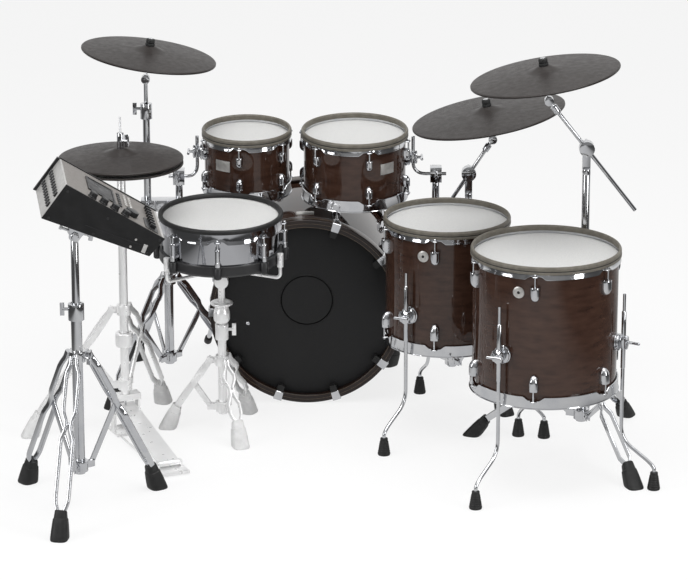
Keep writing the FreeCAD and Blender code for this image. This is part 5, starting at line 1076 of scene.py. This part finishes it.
def in_module(surfaces):
    """From the module's own frame, with its tilting axis along Y at the origin, to its place on the stand."""
    tilted = set_at(surfaces, axis="Y", degrees=module_tilt)
    return set_at(tilted, (*module_stand[:2], module_pivot), "Z", module_yaw)


def on_panel(surfaces):
    """From the control panel's frame: X from its rear edge to the front, Z out of it."""
    return in_module(set_at(surfaces, (panel_rear, 0, panel_high), "Y", panel_slope))


def oblong(x, y, long, wide, low, high, round_off=2.0):
    """Rounded block with its middle at x, y."""
    return prism(eased(shifted(corners(long / 2, wide / 2), x, y), round_off, 3), low, high, 0.4)


def on_side(along, up, surfaces):
    """On the near side panel: along runs from its rear edge to the front and up from its lower edge, both as
    shares. The rear edge leans forward, and the panel gets lower towards the front."""
    spot = (side_rear + side_long * along + side_lean * up, side_out,
            side_low + up * (side_tall - side_fall * along))
    return in_module(set_at(surfaces, spot, "X", 90))


build("module_panel", on_panel(oblong(152, 0, 292, 262, -0.4, 0.9, 3)), panel_taupe, "module")
skirt = turned([(12.4, 0.9), (13, 2), (12.6, 4), (11.6, 5), (11.2, 15.4), (9.5, 16.2)], False, 48,
               lobes=16, lobe=0.012)
trim = []
knob_x, knob_y, knob_pitch = 82, -112, 34
for number in range(4):
    trim += set_at(skirt, (knob_x + knob_pitch * number, knob_y, 0))
display_x, display_y = 118, 20
for side in (-1, 1):
    trim += oblong(display_x, display_y + side * 62, 84, 5, 0.8, 4.2)
for side in (-1, 1):
    trim += oblong(display_x + side * 40, display_y, 5, 126, 0.8, 4.2)
trim += oblong(268, -70, 40, 96, 0.8, 3, 8)
build("module_trim", on_panel(trim), control_black, "module")
buttons = []
button_x, button_y, row_pitch, column_pitch = 198, 96, 15, 18
for column in range(6):
    for row in range(2):
        buttons += oblong(button_x + row_pitch * row, button_y - column_pitch * column, 8, 11, 0.8, 3.4, 1.5)
dot = turned([(3.2, -0.5), (3.2, 0.8), (2.4, 1.2)], False, 24)
dots = on_side(0.79, 0.47, dot) + on_side(0.8, 0.13, dot)
build("module_buttons", on_panel(buttons) + dots, satin_silver, "module", slot="pale_metal")
build("module_card_cover", on_side(0.91, 0.257, oblong(0, 0, 11, 24, -0.5, 0.7, 1)), module_grey, "module")
screw = turned([(3.6, -0.5), (3.6, 0.5), (2.6, 1.1), (1.2, 0.6)], False, 24)
fittings = []
for along, up in ((0.045, 0.89), (0.05, 0.08), (0.47, 0.72), (0.46, 0.09), (0.95, 0.86), (0.96, 0.1)):
    fittings += on_side(along, up, screw)
fittings += on_side(0.782, 0.336, oblong(0, 0, 28, 3, -0.5, 0.6, 1))
fittings += on_side(0.62, 0.30, oblong(0, 0, 168, 1.6, -0.5, 0.5, 0.5))
strip = prism([(side_rear - 8, side_low), (side_rear + 2, side_low), (panel_rear + 2, panel_high),
               (panel_rear - 8, panel_high + 2)], side_out, side_out + 9)
fittings += in_module(set_at(strip, axis="X", degrees=90))
build("module_side_fittings", fittings, control_black, "module")
cheek = eased([(-34, 39), (-18, 6), (-13, -15), (13, -15), (18, 6), (34, 39)], (2, 8, 12, 12, 8, 2))
bolt = turned([(9, 29), (11, 30), (11, 35), (9, 37), (5, 37.5)], False, 32, lobes=6, lobe=0.06)
mount = set_at(prism(cheek, 25, 29) + prism(cheek, -29, -25) + bolt, axis="X", degrees=90)
stem = turned([(4, 17), (4, 36), (6, 37), (6, 44), (4, 45)], False, 20)
wing = prism(eased(corners(16, 3.5), 3, 3), 40, 52, 1.5)
mount += set_at(stem + wing, (0, 0, 3), "Y", 80) + set_at(stem, (0, 0, 3), "Y", -90)
build("module_mount", in_module(mount), chrome, "module")

low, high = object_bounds()
